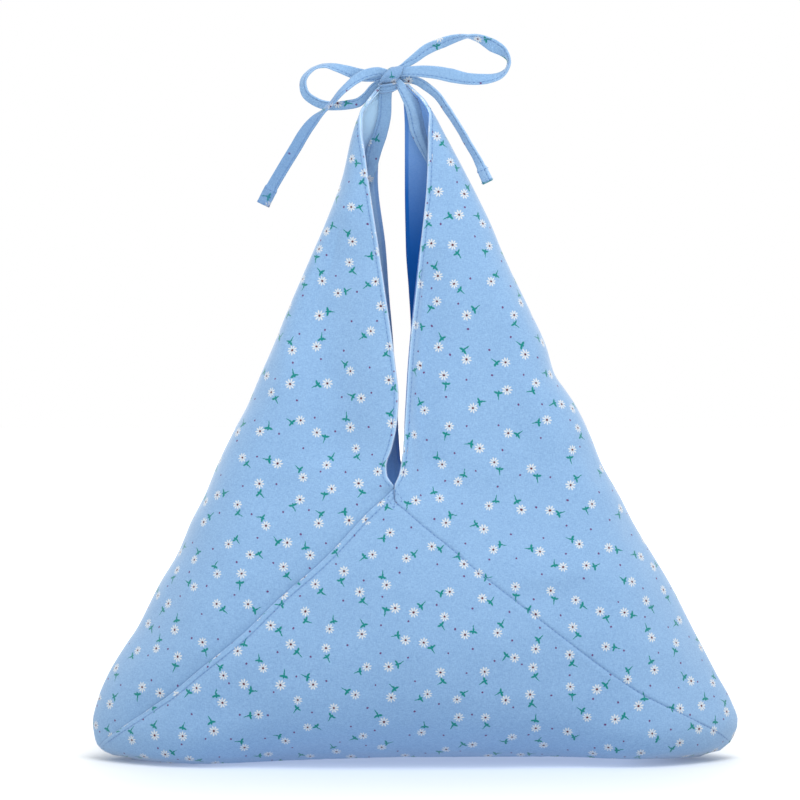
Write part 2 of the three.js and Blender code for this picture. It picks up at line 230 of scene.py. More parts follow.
DEPTH = table(DepthRow, (
    (0, 0.0175, 0.0265, 0.090, 0.060, 0.8),
    (0.004, 0.0235, 0.0340, 0.090, 0.072, 0.8),
    (0.012, 0.0315, 0.0430, 0.090, 0.080, 0.8),
    (0.0215, 0.0375, 0.0500, 0.088, 0.080, 0.8),
    (0.032, 0.0405, 0.0550, 0.084, 0.077, 0.78),
    (0.046, 0.0418, 0.0588, 0.080, 0.072, 0.75),
    (0.070, 0.042, 0.0605, 0.076, 0.062, 0.72),
    (0.108, 0.040, 0.0575, 0.062, 0.050, 0.64),
    (0.145, 0.0345, 0.0500, 0.044, 0.041, 0.56),
    (0.164, 0.0315, 0.0460, 0.036, 0.034, 0.52),
    (0.190, 0.0285, 0.041, 0.031, 0.030, 0.5),
    (0.214, 0.0265, 0.037, 0.029, 0.028, 0.5),
    (0.250, 0.023, 0.031, 0.026, 0.024, 0.5),
    (0.290, 0.0185, 0.0245, 0.022, 0.020, 0.5),
    (0.330, 0.014, 0.0175, 0.016, 0.015, 0.5),
    (0.366, 0.0105, 0.0113, 0.009, 0.0095, 0.5),
    (0.388, 0.0066, 0.0068, 0.006, 0.006, 0.5),
    (0.399, 0.0046, 0.0046, 0.005, 0.0042, 0.5),
    (0.406, 0.0030, 0.0030, 0.005, 0.0030, 0.5),
))

HEM_SEAM = table(SeamRow, (
    (0, 1.02),
    (0.06, 0.985),
    (0.129, 0.917),
    (0.197, 0.837),
    (0.257, 0.758),
    (0.326, 0.681),
    (0.484, 0.502),
    (0.600, 0.3925),
    (0.738, 0.246),
    (0.819, 0.170),
    (0.878, 0.120),
    (0.933, 0.068),
    (0.973, 0.023),
    (1, 0),
))
ROW_SEAM = table(SeamRow, (
    (0, 1.02),
    (0.066, 0.989),
    (0.286, 0.697),
    (0.477, 0.485),
    (0.719, 0.231),
    (0.781, 0.172),
    (0.852, 0.096),
    (0.917, 0.034),
    (0.955, 0.002),
    (1, 0),
))
CORNER_X = {Side.LEFT: -0.191, Side.RIGHT: 0.190}

FRONT_LIFT = table(LiftRow, (
    (-0.171, 0.0006),
    (-0.100, 0.0014),
    (-0.0816, 0.0020),
    (-0.057, 0.0030),
    (0, 0.0045),
    (0.080, 0.0046),
    (0.136, 0.0037),
    (0.167, 0.0024),
))

LEFT_TIE = table(RouteRow, (
    (-0.0290, 0.0074, 0.3466, 0, 0.8),
    (-0.0266, 0.0070, 0.3546, 0, 1.05),
    (-0.0248, 0.0060, 0.3646, 0, 1.3),
    (-0.0210, 0.0042, 0.3760, 0, 1.28),
    (-0.0184, 0.0022, 0.3870, 0, 1.2),
    (-0.0178, 0.0003, 0.3990, 0, 1.15),
    (-0.0164, -0.0006, 0.4066, 0, 1.0),
    (-0.0150, 0.0026, 0.4112, 0, 0.8),
    (-0.0240, 0.0044, 0.4106, 0, 1.0),
    (-0.0328, 0.0046, 0.4113, 0, 1.12),
    (-0.0398, 0.0046, 0.4135, 15, 1.0),
    (-0.0469, 0.0046, 0.4156, 40, 0.9),
    (-0.0530, 0.0044, 0.4168, 66, 0.85),
    (-0.0592, 0.0042, 0.4156, 80, 0.85),
    (-0.0644, 0.0040, 0.4121, 68, 0.85),
    (-0.0670, 0.0040, 0.4066, 50, 0.85),
    (-0.0654, 0.0040, 0.3998, 32, 0.87),
    (-0.0601, 0.0040, 0.3955, 20, 0.85),
    (-0.0539, 0.0040, 0.3932, 10, 0.82),
    (-0.0469, 0.0040, 0.3928, 0, 0.8),
    (-0.0398, 0.0040, 0.3935, 0, 0.84),
    (-0.0337, 0.0040, 0.3950, 10, 0.84),
    (-0.0288, 0.0040, 0.3994, 25, 0.7),
    (-0.0240, 0.0036, 0.4046, 10, 0.7),
    (-0.0156, 0.0028, 0.4081, 0, 0.6),
    (-0.0046, 0.0042, 0.4087, 0, 0.72),
    (0.0016, 0.0038, 0.4074, 10, 0.75),
    (0.0077, 0.0030, 0.4036, 30, 0.85),
    (0.0139, 0.0020, 0.3982, 40, 0.85),
    (0.0183, 0.0010, 0.3920, 46, 0.9),
    (0.0227, 0, 0.3854, 46, 0.9),
    (0.0271, -0.0010, 0.3784, 46, 0.9),
    (0.0315, -0.0020, 0.3709, 48, 0.9),
    (0.0359, -0.0030, 0.3634, 44, 0.9),
    (0.0394, -0.0040, 0.3564, 30, 0.9),
    (0.0436, -0.0050, 0.3472, 24, 0.95),
))
RIGHT_TIE = table(RouteRow, (
    (0.0098, 0.0066, 0.3580, 0, 0.6),
    (0.0070, 0.0062, 0.3650, 0, 0.9, 0.001),
    (0.0045, 0.0052, 0.3717, 0, 1.25, 0.003),
    (0.0022, 0.0038, 0.3788, 0, 1.55, 0.004),
    (0.0008, 0.0024, 0.3860, 0, 1.55, 0.004),
    (-0.0016, 0.0008, 0.3930, 0, 1.3, 0.0025),
    (-0.0050, 0, 0.3994, 0, 1.1),
    (-0.0086, -0.0008, 0.4048, 0, 0.8),
    (-0.0132, -0.0006, 0.4112, 0, 0.5),
    (-0.0064, -0.0006, 0.4168, 10, 0.6),
    (-0.0002, -0.0008, 0.4212, 15, 0.85, 0, 0.05),
    (0.0068, -0.0010, 0.4264, 12, 0.98, 0, 0.05),
    (0.0166, -0.0010, 0.4306, 20, 1.0, 0, -0.05),
    (0.0245, -0.0010, 0.4331, 45, 0.95, 0, -0.3),
    (0.0315, -0.0010, 0.4342, 76, 0.9),
    (0.0385, -0.0010, 0.4329, 40, 0.95),
    (0.0464, -0.0010, 0.4289, 12, 1.2),
    (0.0526, -0.0010, 0.4250, 40, 1.1),
    (0.0560, -0.0010, 0.4201, 78, 1.0),
    (0.0551, -0.0010, 0.4148, 78, 0.95),
    (0.0515, -0.0010, 0.4113, 60, 0.95),
    (0.0464, -0.0010, 0.4094, 42, 0.95),
    (0.0394, -0.0010, 0.4087, 15, 1.0),
    (0.0306, -0.0010, 0.4091, 0, 1.06),
    (0.0218, -0.0010, 0.4109, 0, 1.24),
    (0.0130, -0.0010, 0.4126, 0, 1.15),
    (0.0042, -0.0010, 0.4134, 0, 1.05),
    (-0.0040, -0.0008, 0.4134, 0, 0.85),
    (-0.0136, -0.0004, 0.4122, 0, 0.5),
    (-0.0222, -0.0008, 0.4133, 0, 0.8),
    (-0.0292, -0.0014, 0.4118, 5, 0.88),
    (-0.0354, -0.0020, 0.4086, 20, 0.85),
    (-0.0407, -0.0024, 0.4042, 42, 0.85),
    (-0.0460, -0.0028, 0.3990, 56, 0.85),
    (-0.0503, -0.0030, 0.3937, 66, 0.85),
    (-0.0542, -0.0032, 0.3900, 72, 0.9),
    (-0.0583, -0.0036, 0.3864, 50, 0.95),
    (-0.0629, -0.0040, 0.3812, 18, 1.0),
    (-0.0671, -0.0044, 0.3752, 5, 1.06),
    (-0.0712, -0.0048, 0.3682, 0, 1.06),
    (-0.0795, -0.0054, 0.3546, 0, 1.04),
    (-0.0868, -0.0058, 0.3420, 0, 1.04),
    (-0.0909, -0.0060, 0.3338, 0, 1.04),
))


def between(value: Array, slope: Array, row: Array, span: Array, t: Array) -> Array:
    """Return a smooth curve's values between rows.

    Args:
        value: The rows' values.
        slope: The curve's slope at each row.
        row: The row before each place.
        span: How far it is from there to the next row.
        t: The share of that way.

    Returns:
        A value for each place.
    """
    stay = (1 + 2 * t) * (1 - t) ** 2 * value[row] + t * t * (3 - 2 * t) * value[row + 1]
    return stay + span * t * (1 - t) * ((1 - t) * slope[row] - t * slope[row + 1])


class Column:
    """A smooth curve through one column of a table, without overshoot."""

    def __init__(self, at: Sequence[float], value: Sequence[float]) -> None:
        """Work out the slope at each row.

        Args:
            at: Where each row lies, in rising order.
            value: The rows' values.
        """
        self.at = np.array(at, float)
        self.value = np.array(value, float)
        rise = np.diff(self.value) / np.diff(self.at)
        before, after = rise[:-1], rise[1:]
        same_way = before * after > 0
        total = np.where(same_way, before + after, 1)
        inner = np.where(same_way, 2 * before * after / total, 0)
        self.slope = np.concatenate([rise[:1], inner, rise[-1:]])

    def __call__(self, place: Array) -> Array:
        """Return the curve's values.

        Args:
            place: Where to read the curve.

        Returns:
            The values there, held level past both ends.
        """
        row = np.clip(np.searchsorted(self.at, place, side="right") - 1, 0, len(self.at) - 2)
        span = self.at[row + 1] - self.at[row]
        return between(self.value, self.slope, row, span, np.clip((place - self.at[row]) / span, 0, 1))


def column(rows: Sequence[Any], key: str, at: str = "z") -> Column:
    """Return the curve through a table's column `key` over its column `at`."""
    return Column([getattr(row, at) for row in rows], [getattr(row, key) for row in rows])


def smooth(low: float, high: float, value: Array) -> Array:
    """Return 0 before low, 1 past high and a soft step between them, also where high is the lower."""
    t = np.clip((value - low) / (high - low), 0, 1)
    return t * t * (3 - 2 * t)


def hump(value: Array, middle: float, width: float) -> Array:
    """Return a soft hump of height 1 and that half width."""
    return np.exp(-(((value - middle) / width) ** 2))


@dataclass(frozen=True)
class Crease:
    """A soft trough or ridge across one face of the bag.

    It is as wide as `left` on the left hand of its path and as `right` on the right hand, so a
    narrow side makes a steep bank.
    """

    face: Face
    path: tuple[Pair, ...]
    height: float
    left: float
    right: float
    fade: float = 0.3

    def rise(self, x: Array, z: Array) -> Array:
        """Return how far the crease lifts each place.

        Args:
            x: Places across.
            z: Places up.

        Returns:
            The lift in metres, below zero in a trough.
        """
        points = np.array(self.path)
        lengths = np.linalg.norm(np.diff(points, axis=0), axis=1)
        start = np.concatenate([[0], np.cumsum(lengths)])
        best = np.full(x.shape, np.inf)
        along = np.zeros(x.shape)
        hand = np.zeros(x.shape)
        for i, length in enumerate(lengths):
            step = (points[i + 1] - points[i]) / length
            out_x, out_z = x - points[i, 0], z - points[i, 1]
            run = np.clip(out_x * step[0] + out_z * step[1], 0, length)
            off = np.hypot(out_x - run * step[0], out_z - run * step[1])
            nearer = off < best
            best = np.where(nearer, off, best)
            along = np.where(nearer, (start[i] + run) / start[-1], along)
            hand = np.where(nearer, step[0] * out_z - step[1] * out_x, hand)
        width = np.where(hand > 0, self.left, self.right)
        ends = smooth(0, self.fade, along) * smooth(0, self.fade, 1 - along)
        return self.height * ends * np.exp(-((best / width) ** 2))


CREASES = (
    Crease(Face.FRONT, ((-0.0440, 0.335), (-0.0500, 0.312), (-0.0550, 0.290), (-0.0575, 0.262),
                        (-0.0550, 0.240), (-0.0500, 0.216), (-0.0465, 0.196), (-0.0475, 0.178),
                        (-0.0540, 0.160)), -0.0068, 0.022, 0.015, 0.2),
    Crease(Face.FRONT, ((0.0450, 0.110), (0.0640, 0.114), (0.0870, 0.116), (0.1130, 0.126)),
           0.0026, 0.020, 0.008),
    Crease(Face.FRONT, ((0.0102, 0.150), (0.0062, 0.1651), (0.0064, 0.1801), (0.0042, 0.1951),
                        (0.0018, 0.2113), (0.0024, 0.2263), (0.0042, 0.249), (0.0066, 0.283),
                        (0.0096, 0.318)), -0.0062, 0.0045, 0.013, 0.2),
    Crease(Face.FRONT, ((0.1052, 0.196), (0.1100, 0.180), (0.1160, 0.161)), -0.0022, 0.0022, 0.006),
    Crease(Face.FRONT, ((0.1260, 0.153), (0.1350, 0.132)), -0.0018, 0.0022, 0.006),
    Crease(Face.FRONT, ((-0.0846, 0.244), (-0.0930, 0.228), (-0.1014, 0.212)), -0.0020, 0.006, 0.0025),
    Crease(Face.BACK, ((0.0400, 0.280), (0.0330, 0.245), (0.0270, 0.218), (0.0300, 0.195), (0.0400, 0.172),
                       (0.0560, 0.150), (0.0760, 0.122)), -0.0080, 0.015, 0.0065, 0.18),
    Crease(Face.BACK, ((-0.0120, 0.155), (-0.0180, 0.180), (-0.0200, 0.210), (-0.0230, 0.245),
                       (-0.0290, 0.290)), -0.0060, 0.013, 0.0055, 0.22),
)


class BagForm:
    """The rule for the bag's outer face: a depth over height and width, with its seams."""

    heel = 0.016
    heel_height = 0.024
    heel_place = (0.070, 0.150)

    def __init__(self) -> None:
        """Read the tables."""
        self.outline = {Side.LEFT: column(OUTLINE, "left"), Side.RIGHT: column(OUTLINE, "right")}
        self.slit = {
            (face, side): column(SLIT, f"{face.name}_{side.name}".lower())
            for face in Face
            for side in Side
        }
        keys = ("face", "ridge", "ridge_width", "side", "fullness")
        self.depth = {key: column(DEPTH, key) for key in keys}
        self.seam = {
            Seam.HEM: column(HEM_SEAM, "across", "height"),
            Seam.ROW: column(ROW_SEAM, "across", "height"),
        }
        self.lift = column(FRONT_LIFT, "lift", "x")

    def seam_kind(self, face: Face, side: Side) -> Seam:
        """Return how the base meets that wing: the back is the front, turned half round."""
        return Seam.HEM if face.value == side.value else Seam.ROW

    def edge(self, face: Face, side: Side, z: Array) -> Array:
        """Return where a wing ends towards the middle.

        Args:
            face: Front or back.
            side: Which wing.
            z: Heights.

        Returns:
            The free edge above the slit's foot, and the seam line below it.
        """
        foot = FOOT_Z[face]
        foot_x = self.slit[face, side](np.array(foot))
        share = self.seam[self.seam_kind(face, side)](z / foot)
        seam = foot_x + share * (CORNER_X[side] - foot_x)
        fold = self.outline[side](z)
        inside = np.maximum(seam, fold) if side is Side.LEFT else np.minimum(seam, fold)
        return np.where(z > foot, self.slit[face, side](z), inside)

    def place(self, face: Face, x: Array, z: Array) -> Array:
        """Return points of the outer face, before its creases.

        Args:
            face: Front or back.
            x: Places across.
            z: Heights.

        Returns:
            Points, in an array with one axis more.
        """
        left = x < (self.slit[face, Side.LEFT](z) + self.slit[face, Side.RIGHT](z)) / 2
        left |= (z <= FOOT_Z[face]) & (x < self.slit[face, Side.LEFT](z))
        fold = np.where(left, self.outline[Side.LEFT](z), self.outline[Side.RIGHT](z))
        edge = np.where(left, self.slit[face, Side.LEFT](z), self.slit[face, Side.RIGHT](z))
        inward = np.clip(np.abs(x - fold) / self.depth["side"](z), 0, 1)
        rounding = (1 - (1 - inward) ** 2) ** self.depth["fullness"](z)
        from_ridge = (x - edge) / self.depth["ridge_width"](z)
        ridge = (self.depth["ridge"](z) - self.depth["face"](z)) * np.exp(-(from_ridge**2) / 2)
        heel = self.heel * hump(z, 0, self.heel_height) * smooth(*self.heel_place, np.abs(x))
        y = face.value * rounding * (self.depth["face"](z) + ridge + heel)
        return np.stack([x, y, z], axis=-1)


class Relief(NamedTuple):
    """What seams and hems do to the cloth: lift it and pucker it, with painted highlights and painted shade
    along them as tone.
    """

    height: Array
    tone: Array
    pucker: Array

    def mixed(self, other: "Relief", share: Array) -> "Relief":
        """Return this relief by that share, and the other one by the rest."""
        return Relief(*(mine * share + theirs * (1 - share) for mine, theirs in zip(self, other)))

    def plus(self, other: "Relief") -> "Relief":
        """Return both reliefs together."""
        return Relief(*(mine + theirs for mine, theirs in zip(self, other)))

    @classmethod
    def flat(cls, shape: tuple[int, ...]) -> "Relief":
        """Return the relief of plain cloth."""
        return cls(np.zeros(shape), np.zeros(shape), np.zeros(shape))


class Mark(NamedTuple):
    """A soft ridge or trough, or a line of painted highlight or painted shade, beside an edge."""

    strength: float
    place: float
    width: float

    def at(self, off: Array) -> Array:
        """Return its height or tone at distances from the edge."""
        return self.strength * hump(off, self.place, self.width)


def marks(off: Array, *parts: Mark) -> Array:
    """Return the sum of marks at distances from the edge."""
    return sum(part.at(off) for part in parts)


class Fold(NamedTuple):
    """A hem's folded strip: where it is stitched, how high it stands and how pale it is."""

    stitch: float
    height: float
    tone: float


@dataclass(frozen=True)
class HemProfile:
    """Sections across the seams and hems, in metres."""

    lap: Fold = Fold(0.0036, 0.00035, 0.01)
    free: Fold = Fold(0.0025, 0.0004, 0.10)
    fold_edge: Pair = (-0.0001, 0.0005)
    fold_end: float = 0.0012
    groove: float = -0.0004
    line: float = 0.00045
    pucker: float = 0.0026
    soft_pucker: float = 0.6
    belly_valley: Mark = Mark(-0.0022, 0, 0.0060)
    wing_valley: Mark = Mark(-0.0022, 0, 0.0085)
    # lap_rim paints a highlight on the lap's fold edge; lap_row paints shade in its stitch groove.
    lap_rim: Mark = Mark(0.03, 0.0004, 0.00045)
    lap_row: float = -0.55
    step: Mark = Mark(-0.0007, 0, 0.0028)
    # step_dark and step_shade paint a shadow on the wing at the foot of the lap.
    step_dark: Mark = Mark(-0.55, 0, 0.0009)
    step_shade: Mark = Mark(-0.10, 0, 0.0030)
    step_pucker: Mark = Mark(0.6, 0, 0.005)
    edge_drop: float = -0.0006
    edge_reach: float = 0.0007
    # rim_tone and rim paint a highlight on a free edge's fold; free_row paints shade in its stitch groove.
    rim_tone: float = 0.75
    rim: Pair = (0.0003, 0.0011)
    free_row: float = -0.5
    row_bank: Mark = Mark(0.0002, 0.003, 0.002)
    row_groove: Mark = Mark(-0.0005, 0, 0.0007)
    # row_dark paints shade in the groove of a row of stitches.
    row_dark: Mark = Mark(-0.32, 0, 0.00045)

    def plateau(self, off: Array, stitch: float) -> Array:
        """Return the share of a folded hem's height at a distance from its edge."""
        return smooth(*self.fold_edge, off) * (1 - smooth(stitch, stitch + self.fold_end, off))

    def over(self, off: Array) -> Relief:
        """Return the relief of the hem that laps over the wing.

        Args:
            off: Distances from the edge, in metres.

        Returns:
            The relief.
        """
        stitch, high, pale = self.lap
        flat = self.plateau(off, stitch)
        height = high * flat + marks(off, Mark(self.groove, stitch, self.line), self.belly_valley)
        tone = pale * flat + marks(off, self.lap_rim, Mark(self.lap_row, stitch, self.line))
        return Relief(height, tone, hump(off, stitch, self.pucker))

    def under(self, off: Array) -> Relief:
        """Return the relief of the wing beside the hem that laps over it."""
        height = marks(off, self.step, self.wing_valley)
        return Relief(height, marks(off, self.step_dark, self.step_shade), self.step_pucker.at(off))

    def lip(self, off: Array) -> Relief:
        """Return the relief of the hem along a free edge.

        Args:
            off: Distances from the edge, in metres.

        Returns:
            The relief.
        """
        stitch, high, pale = self.free
        flat = self.plateau(off, stitch)
        edge = self.edge_drop * (1 - smooth(0, self.edge_reach, off))
        height = edge + high * flat + Mark(self.groove, stitch, self.line).at(off)
        rim = self.rim_tone * (1 - smooth(*self.rim, off))
        tone = rim + pale * flat + Mark(self.free_row, stitch, self.line).at(off)
        return Relief(height, tone, self.soft_pucker * hump(off, stitch, self.pucker))

    def row(self, off: Array) -> Relief:
        """Return the relief beside a row of stitches on uncut cloth."""
        height = marks(off, self.row_bank, self.row_groove)
        return Relief(height, self.row_dark.at(off), hump(off, 0, self.pucker))


@dataclass(frozen=True)
class LiningProfile(HemProfile):
    """The lining's edge, which comes up to the outer cloth's at the free edges."""

    rise: float = 0.0007
    reach: float = 0.004
    # strip and strip_tone paint shade along the lining's hem.
    strip: Pair = (0.0022, 0.0027)
    strip_tone: float = -0.3

    def over(self, off: Array) -> Relief:
        """Return the seam's soft valley on the belly's side."""
        return Relief.flat(off.shape)._replace(height=self.belly_valley.at(off))

    def under(self, off: Array) -> Relief:
        """Return the seam's soft valley on the wing's side."""
        return Relief.flat(off.shape)._replace(height=self.wing_valley.at(off))

    def row(self, off: Array) -> Relief:
        """Return plain cloth."""
        return Relief.flat(off.shape)

    def lip(self, off: Array) -> Relief:
        """Return the rise towards the outer cloth, with painted shade along the lining's hem."""
        rise = self.rise * (1 - smooth(0, self.reach, off))
        return Relief(rise, self.strip_tone * (1 - smooth(*self.strip, off)), np.zeros(off.shape))


@dataclass
class Grid:
    """A stretch of cloth as rows and columns of points."""

    patch: Patch
    points: Array
    relief: Relief
    off: Array
    face: Face | None


@dataclass(frozen=True)
class ClothSpacing:
    """How finely the cloth's mesh is divided."""

    low_rows: tuple[float, ...] = (
        0, 0.0004, 0.0012, 0.0024, 0.004, 0.006, 0.0085, 0.0115, 0.015, 0.019, 0.024)
    belly_step: float = 0.0024
    foot_step: float = 0.0014
    wing_step: float = 0.0025
    foot_low: float = 0.150
    foot_high: float = 0.192
    near_mm: tuple[float, ...] = (0, 0.25, 0.6, 1.1, 1.7, 2.1, 2.5, 2.9, 3.3, 3.6, 4.0, 4.7, 6.2, 8.6)
    wing_columns: int = 30
    base_columns: int = 70
    under_rows: int = 20
    samples: int = 200

    def heights(self) -> Array:
        """Return the rows' heights, with a row at each slit's foot.

        Returns:
            The heights, rising from the ground.
        """
        stops = [
            (self.foot_low, self.belly_step),
            (FOOT_Z[Face.FRONT], self.foot_step),
            (FOOT_Z[Face.BACK], self.foot_step),
            (self.foot_high, self.foot_step),
            (WING_TOP_Z, self.wing_step),
        ]
        rows = [np.array(self.low_rows)]
        for stop, step in stops:
            count = max(1, round((stop - rows[-1][-1]) / step))
            rows.append(np.linspace(rows[-1][-1], stop, count + 1)[1:])
        return np.concatenate(rows)


COARSE = ClothSpacing(
    low_rows=(0, 0.003, 0.008, 0.015, 0.024), belly_step=0.005, foot_step=0.0035, wing_step=0.004,
    near_mm=(0, 1.1, 2.1, 2.7, 4, 7), wing_columns=16, base_columns=34, under_rows=8)


@dataclass
class ClothMesh:
    """A welded mesh of the bag's cloth."""

    points: Array
    faces: Faces
    patches: Array
    normals: Array
    tone: Array
    grids: dict[Patch, Grid]
    index: dict[Patch, Array]


def face_normals(points: Array, faces: Faces) -> Array:
    """Return each face's normal, as long as twice its area.

    Args:
        points: The mesh's points.
        faces: Its triangles and quads.

    Returns:
        A vector for each face.
    """
    corners = np.array([(f[0], f[1], f[2], f[-1]) for f in faces])
    a, b, c, d = (points[corners[:, i]] for i in range(4))
    triangle = (corners[:, 2] == corners[:, 3])[:, None]
    return np.cross(c - a, d - b) + np.where(triangle, np.cross(b - a, c - a), 0)


def vertex_normals(points: Array, faces: Faces) -> Array:
    """Return the points' normals, weighted by area.

    Args:
        points: The mesh's points.
        faces: Its triangles and quads.

    Returns:
        A unit vector for each point.
    """
    normals = np.zeros_like(points)
    flat = face_normals(points, faces)
    for place in range(4):
        corner = np.array([f[min(place, len(f) - 1)] for f in faces])
        np.add.at(normals, corner, flat)
    return normals / np.maximum(np.linalg.norm(normals, axis=1, keepdims=True), TINY)


class BagCloth:
    """Builds the bag's cloth: two wings with free edges, the belly and the underside."""

    pucker_height = 0.0005
    pucker_size = 0.0045
    pucker_least = 0.02
    gather = (0.006, 0.018)
    seam_fade = (0.008, 0.034)
    foot_blend = 0.004
    tip_blend = 0.012
    steepest = 2.2
    wing_room = 0.5
    belly_room = 0.3
    side_fade = 0.010
    face_fade = 0.002
    ground_fade = (-0.001, 0.012)
    rest_y = 0.055
    rise_run = 0.082
    lift_height = 0.022
    clear = 0.0002
    digits = 7
    waves = ((0.060, 0.0018), (0.024, 0.0007), (0.010, 0.0002))

    def __init__(self, form: BagForm, spacing: ClothSpacing, profile: HemProfile) -> None:
        """Keep the rule, the mesh fineness and the sections across hems and seams.

        Args:
            form: The rule for the outer face.
            spacing: The mesh's fineness.
            profile: The sections across hems and seams.
        """
        self.form = form
        self.spacing = spacing
        self.profile = profile
        self.z = spacing.heights()

    def section(self, face: Face, low: Array, high: Array, side: Side | None) -> tuple[Array, Array]:
        """Return the points across a panel, before they are spaced.

        Args:
            face: Front or back.
            low: Where the panel starts at each height, on the left.
            high: Where it ends.
            side: The side whose fold bounds the panel, or None for both.

        Returns:
            Places across, and how far along the cloth each one is.
        """
        t = np.linspace(0, 1, self.spacing.samples + 1)
        if side is Side.LEFT:
            t = t**2
        elif side is Side.RIGHT:
            t = 1 - (1 - t) ** 2
        else:
            t = 0.5 - 0.5 * np.cos(math.pi * t)
        x = low[:, None] + (high - low)[:, None] * t
        points = self.form.place(face, x, np.broadcast_to(self.row_z(low)[:, None], x.shape))
        steps = np.linalg.norm(np.diff(points, axis=1), axis=2)
        run = np.concatenate([np.zeros((len(x), 1)), np.cumsum(steps, axis=1)], axis=1)
        return x, run

    def spread(self, face: Face, x: Array, run: Array, along: Array) -> Array:
        """Return a panel's points at given distances along the cloth.

        Args:
            face: Front or back.
            x: Places across the section.
            run: How far along the cloth each of them is.
            along: The wanted distances.

        Returns:
            The points, with the panel's two ends just where the section's are.
        """
        places = np.stack([np.interp(a, r, row) for a, r, row in zip(along, run, x)])
        places[:, 0], places[:, -1] = x[:, 0], x[:, -1]
        return self.form.place(face, places, np.broadcast_to(self.row_z(x)[:, None], places.shape))

    def row_z(self, low: Array) -> Array:
        """Return the heights that belong to a panel with that many rows."""
        return self.z[: len(low)]

    def slant(self, edge: Array) -> Array:
        """Return how much longer a level cut across a seam is than a square one."""
        slope = np.gradient(edge, self.row_z(edge))
        return np.minimum(np.sqrt(1 + slope**2), self.steepest)

    def near_places(self, length: Array, slant: Array, room: float) -> Array:
        """Return the places beside an edge, squeezed where the panel is narrow.

        Args:
            length: The panel's width at each row.
            slant: The edge's slant at each row.
            room: The share of the width that the places may take.

        Returns:
            Distances from the edge along the cloth, a row for each height.
        """
        near = np.array(self.spacing.near_mm) * MM
        reach = near[-1] * slant
        scale = np.minimum(1, room * length / np.maximum(reach, TINY))
        return near[None, :] * (slant * scale)[:, None]

    def wing(self, face: Face, side: Side) -> Grid:
        """Return one wing's panel, from its side fold to its seam and free edge.

        Args:
            face: Front or back.
            side: Which wing.

        Returns:
            The panel.
        """
        fold = self.form.outline[side](self.z)
        edge = self.form.edge(face, side, self.z)
        low, high = (fold, edge) if side is Side.LEFT else (edge, fold)
        x, run = self.section(face, low, high, side)
        length = run[:, -1]
        slant = self.slant(edge)
        near = self.near_places(length, slant, self.wing_room)
        count = self.spacing.wing_columns
        rest = near[:, -1:] + (length - near[:, -1])[:, None] * (np.arange(1, count + 1) / count)
        off = np.concatenate([near, rest], axis=1)
        along = length[:, None] - off[:, ::-1] if side is Side.LEFT else off
        points = self.spread(face, x, run, along)
        square = (off[:, ::-1] if side is Side.LEFT else off) / slant[:, None]
        patch = Patch[f"{side.name}_{face.name}"]
        return Grid(patch, points, self.wing_relief(face, side, square), square, face)

    def wing_relief(self, face: Face, side: Side, off: Array) -> Relief:
        """Return the relief of a wing's seam and hem, by the distance from its edge.

        Args:
            face: Front or back.
            side: Which wing.
            off: Distances from its edge, a row for each height.

        Returns:
            The relief.
        """
        below = 1 - smooth(-self.foot_blend, self.foot_blend, self.z - FOOT_Z[face])[:, None]
        top = smooth(0, self.tip_blend, WING_TOP_Z - self.z)[:, None]
        hem = self.form.seam_kind(face, side) is Seam.HEM
        seam = self.profile.under(off) if hem else self.profile.row(off)
        seam = seam._replace(height=seam.height * self.above_ground(self.z))
        return seam.mixed(self.profile.lip(off).mixed(Relief.flat(off.shape), top), below)

    def above_ground(self, z: Array) -> Array:
        """Return the share of a seam's height that is left at each height, a row for each."""
        return smooth(*self.seam_fade, z)[:, None]

    def base(self, face: Face) -> Grid:
        """Return the belly's panel between its two seams, from the ground to the slit's foot.

        Args:
            face: Front or back.

        Returns:
            The panel.
        """
        rows = self.z[self.z <= FOOT_Z[face] + TINY]
        low = self.form.edge(face, Side.LEFT, rows)
        high = self.form.edge(face, Side.RIGHT, rows)
        high = np.maximum(low, high)
        x, run = self.section(face, low, high, None)
        length = run[:, -1]
        slants = self.slant(low), self.slant(high)
        left, right = (self.near_places(length, slant, self.belly_room) for slant in slants)
        count = self.spacing.base_columns
        share = np.arange(1, count) / count
        middle = left[:, -1:] + (length - left[:, -1] - right[:, -1])[:, None] * share
        along = np.concatenate([left, middle, length[:, None] - right[:, ::-1]], axis=1)
        points = self.spread(face, x, run, along)
        from_left = along / slants[0][:, None]
        from_right = (length[:, None] - along) / slants[1][:, None]
        relief = self.base_relief(face, from_left, from_right)
        return Grid(Patch[f"BASE_{face.name}"], points, relief, np.minimum(from_left, from_right), face)

    def base_relief(self, face: Face, from_left: Array, from_right: Array) -> Relief:
        """Return the relief of the belly's two seams.

        Args:
            face: Front or back.
            from_left: Distances from the left seam.
            from_right: Distances from the right seam.

        Returns:
            The relief.
        """
        total = Relief.flat(from_left.shape)
        for side, off in {Side.LEFT: from_left, Side.RIGHT: from_right}.items():
            hem = self.form.seam_kind(face, side) is Seam.HEM
            total = total.plus(self.profile.over(off) if hem else self.profile.row(off))
        total = total._replace(height=total.height * self.above_ground(self.z[: len(from_left)]))
        low = 1 - smooth(*self.gather, self.z[: len(from_left)])[:, None]
        return total.plus(Relief(0 * low, 0 * low, low + 0 * from_left))

    def under(self, front: Grid, back: Grid) -> Grid:
        """Return the underside, between the front's and the back's bottom rows.

        Args:
            front: The front's panel.
            back: The back's panel.

        Returns:
            The underside.
        """
        share = np.linspace(0, 1, self.spacing.under_rows + 1)[:, None, None]
        points = back.points[0] * (1 - share) + front.points[0] * share
        shape = points.shape[:2]
        return Grid(Patch.UNDER, points, Relief.flat(shape), np.ones(shape), None)

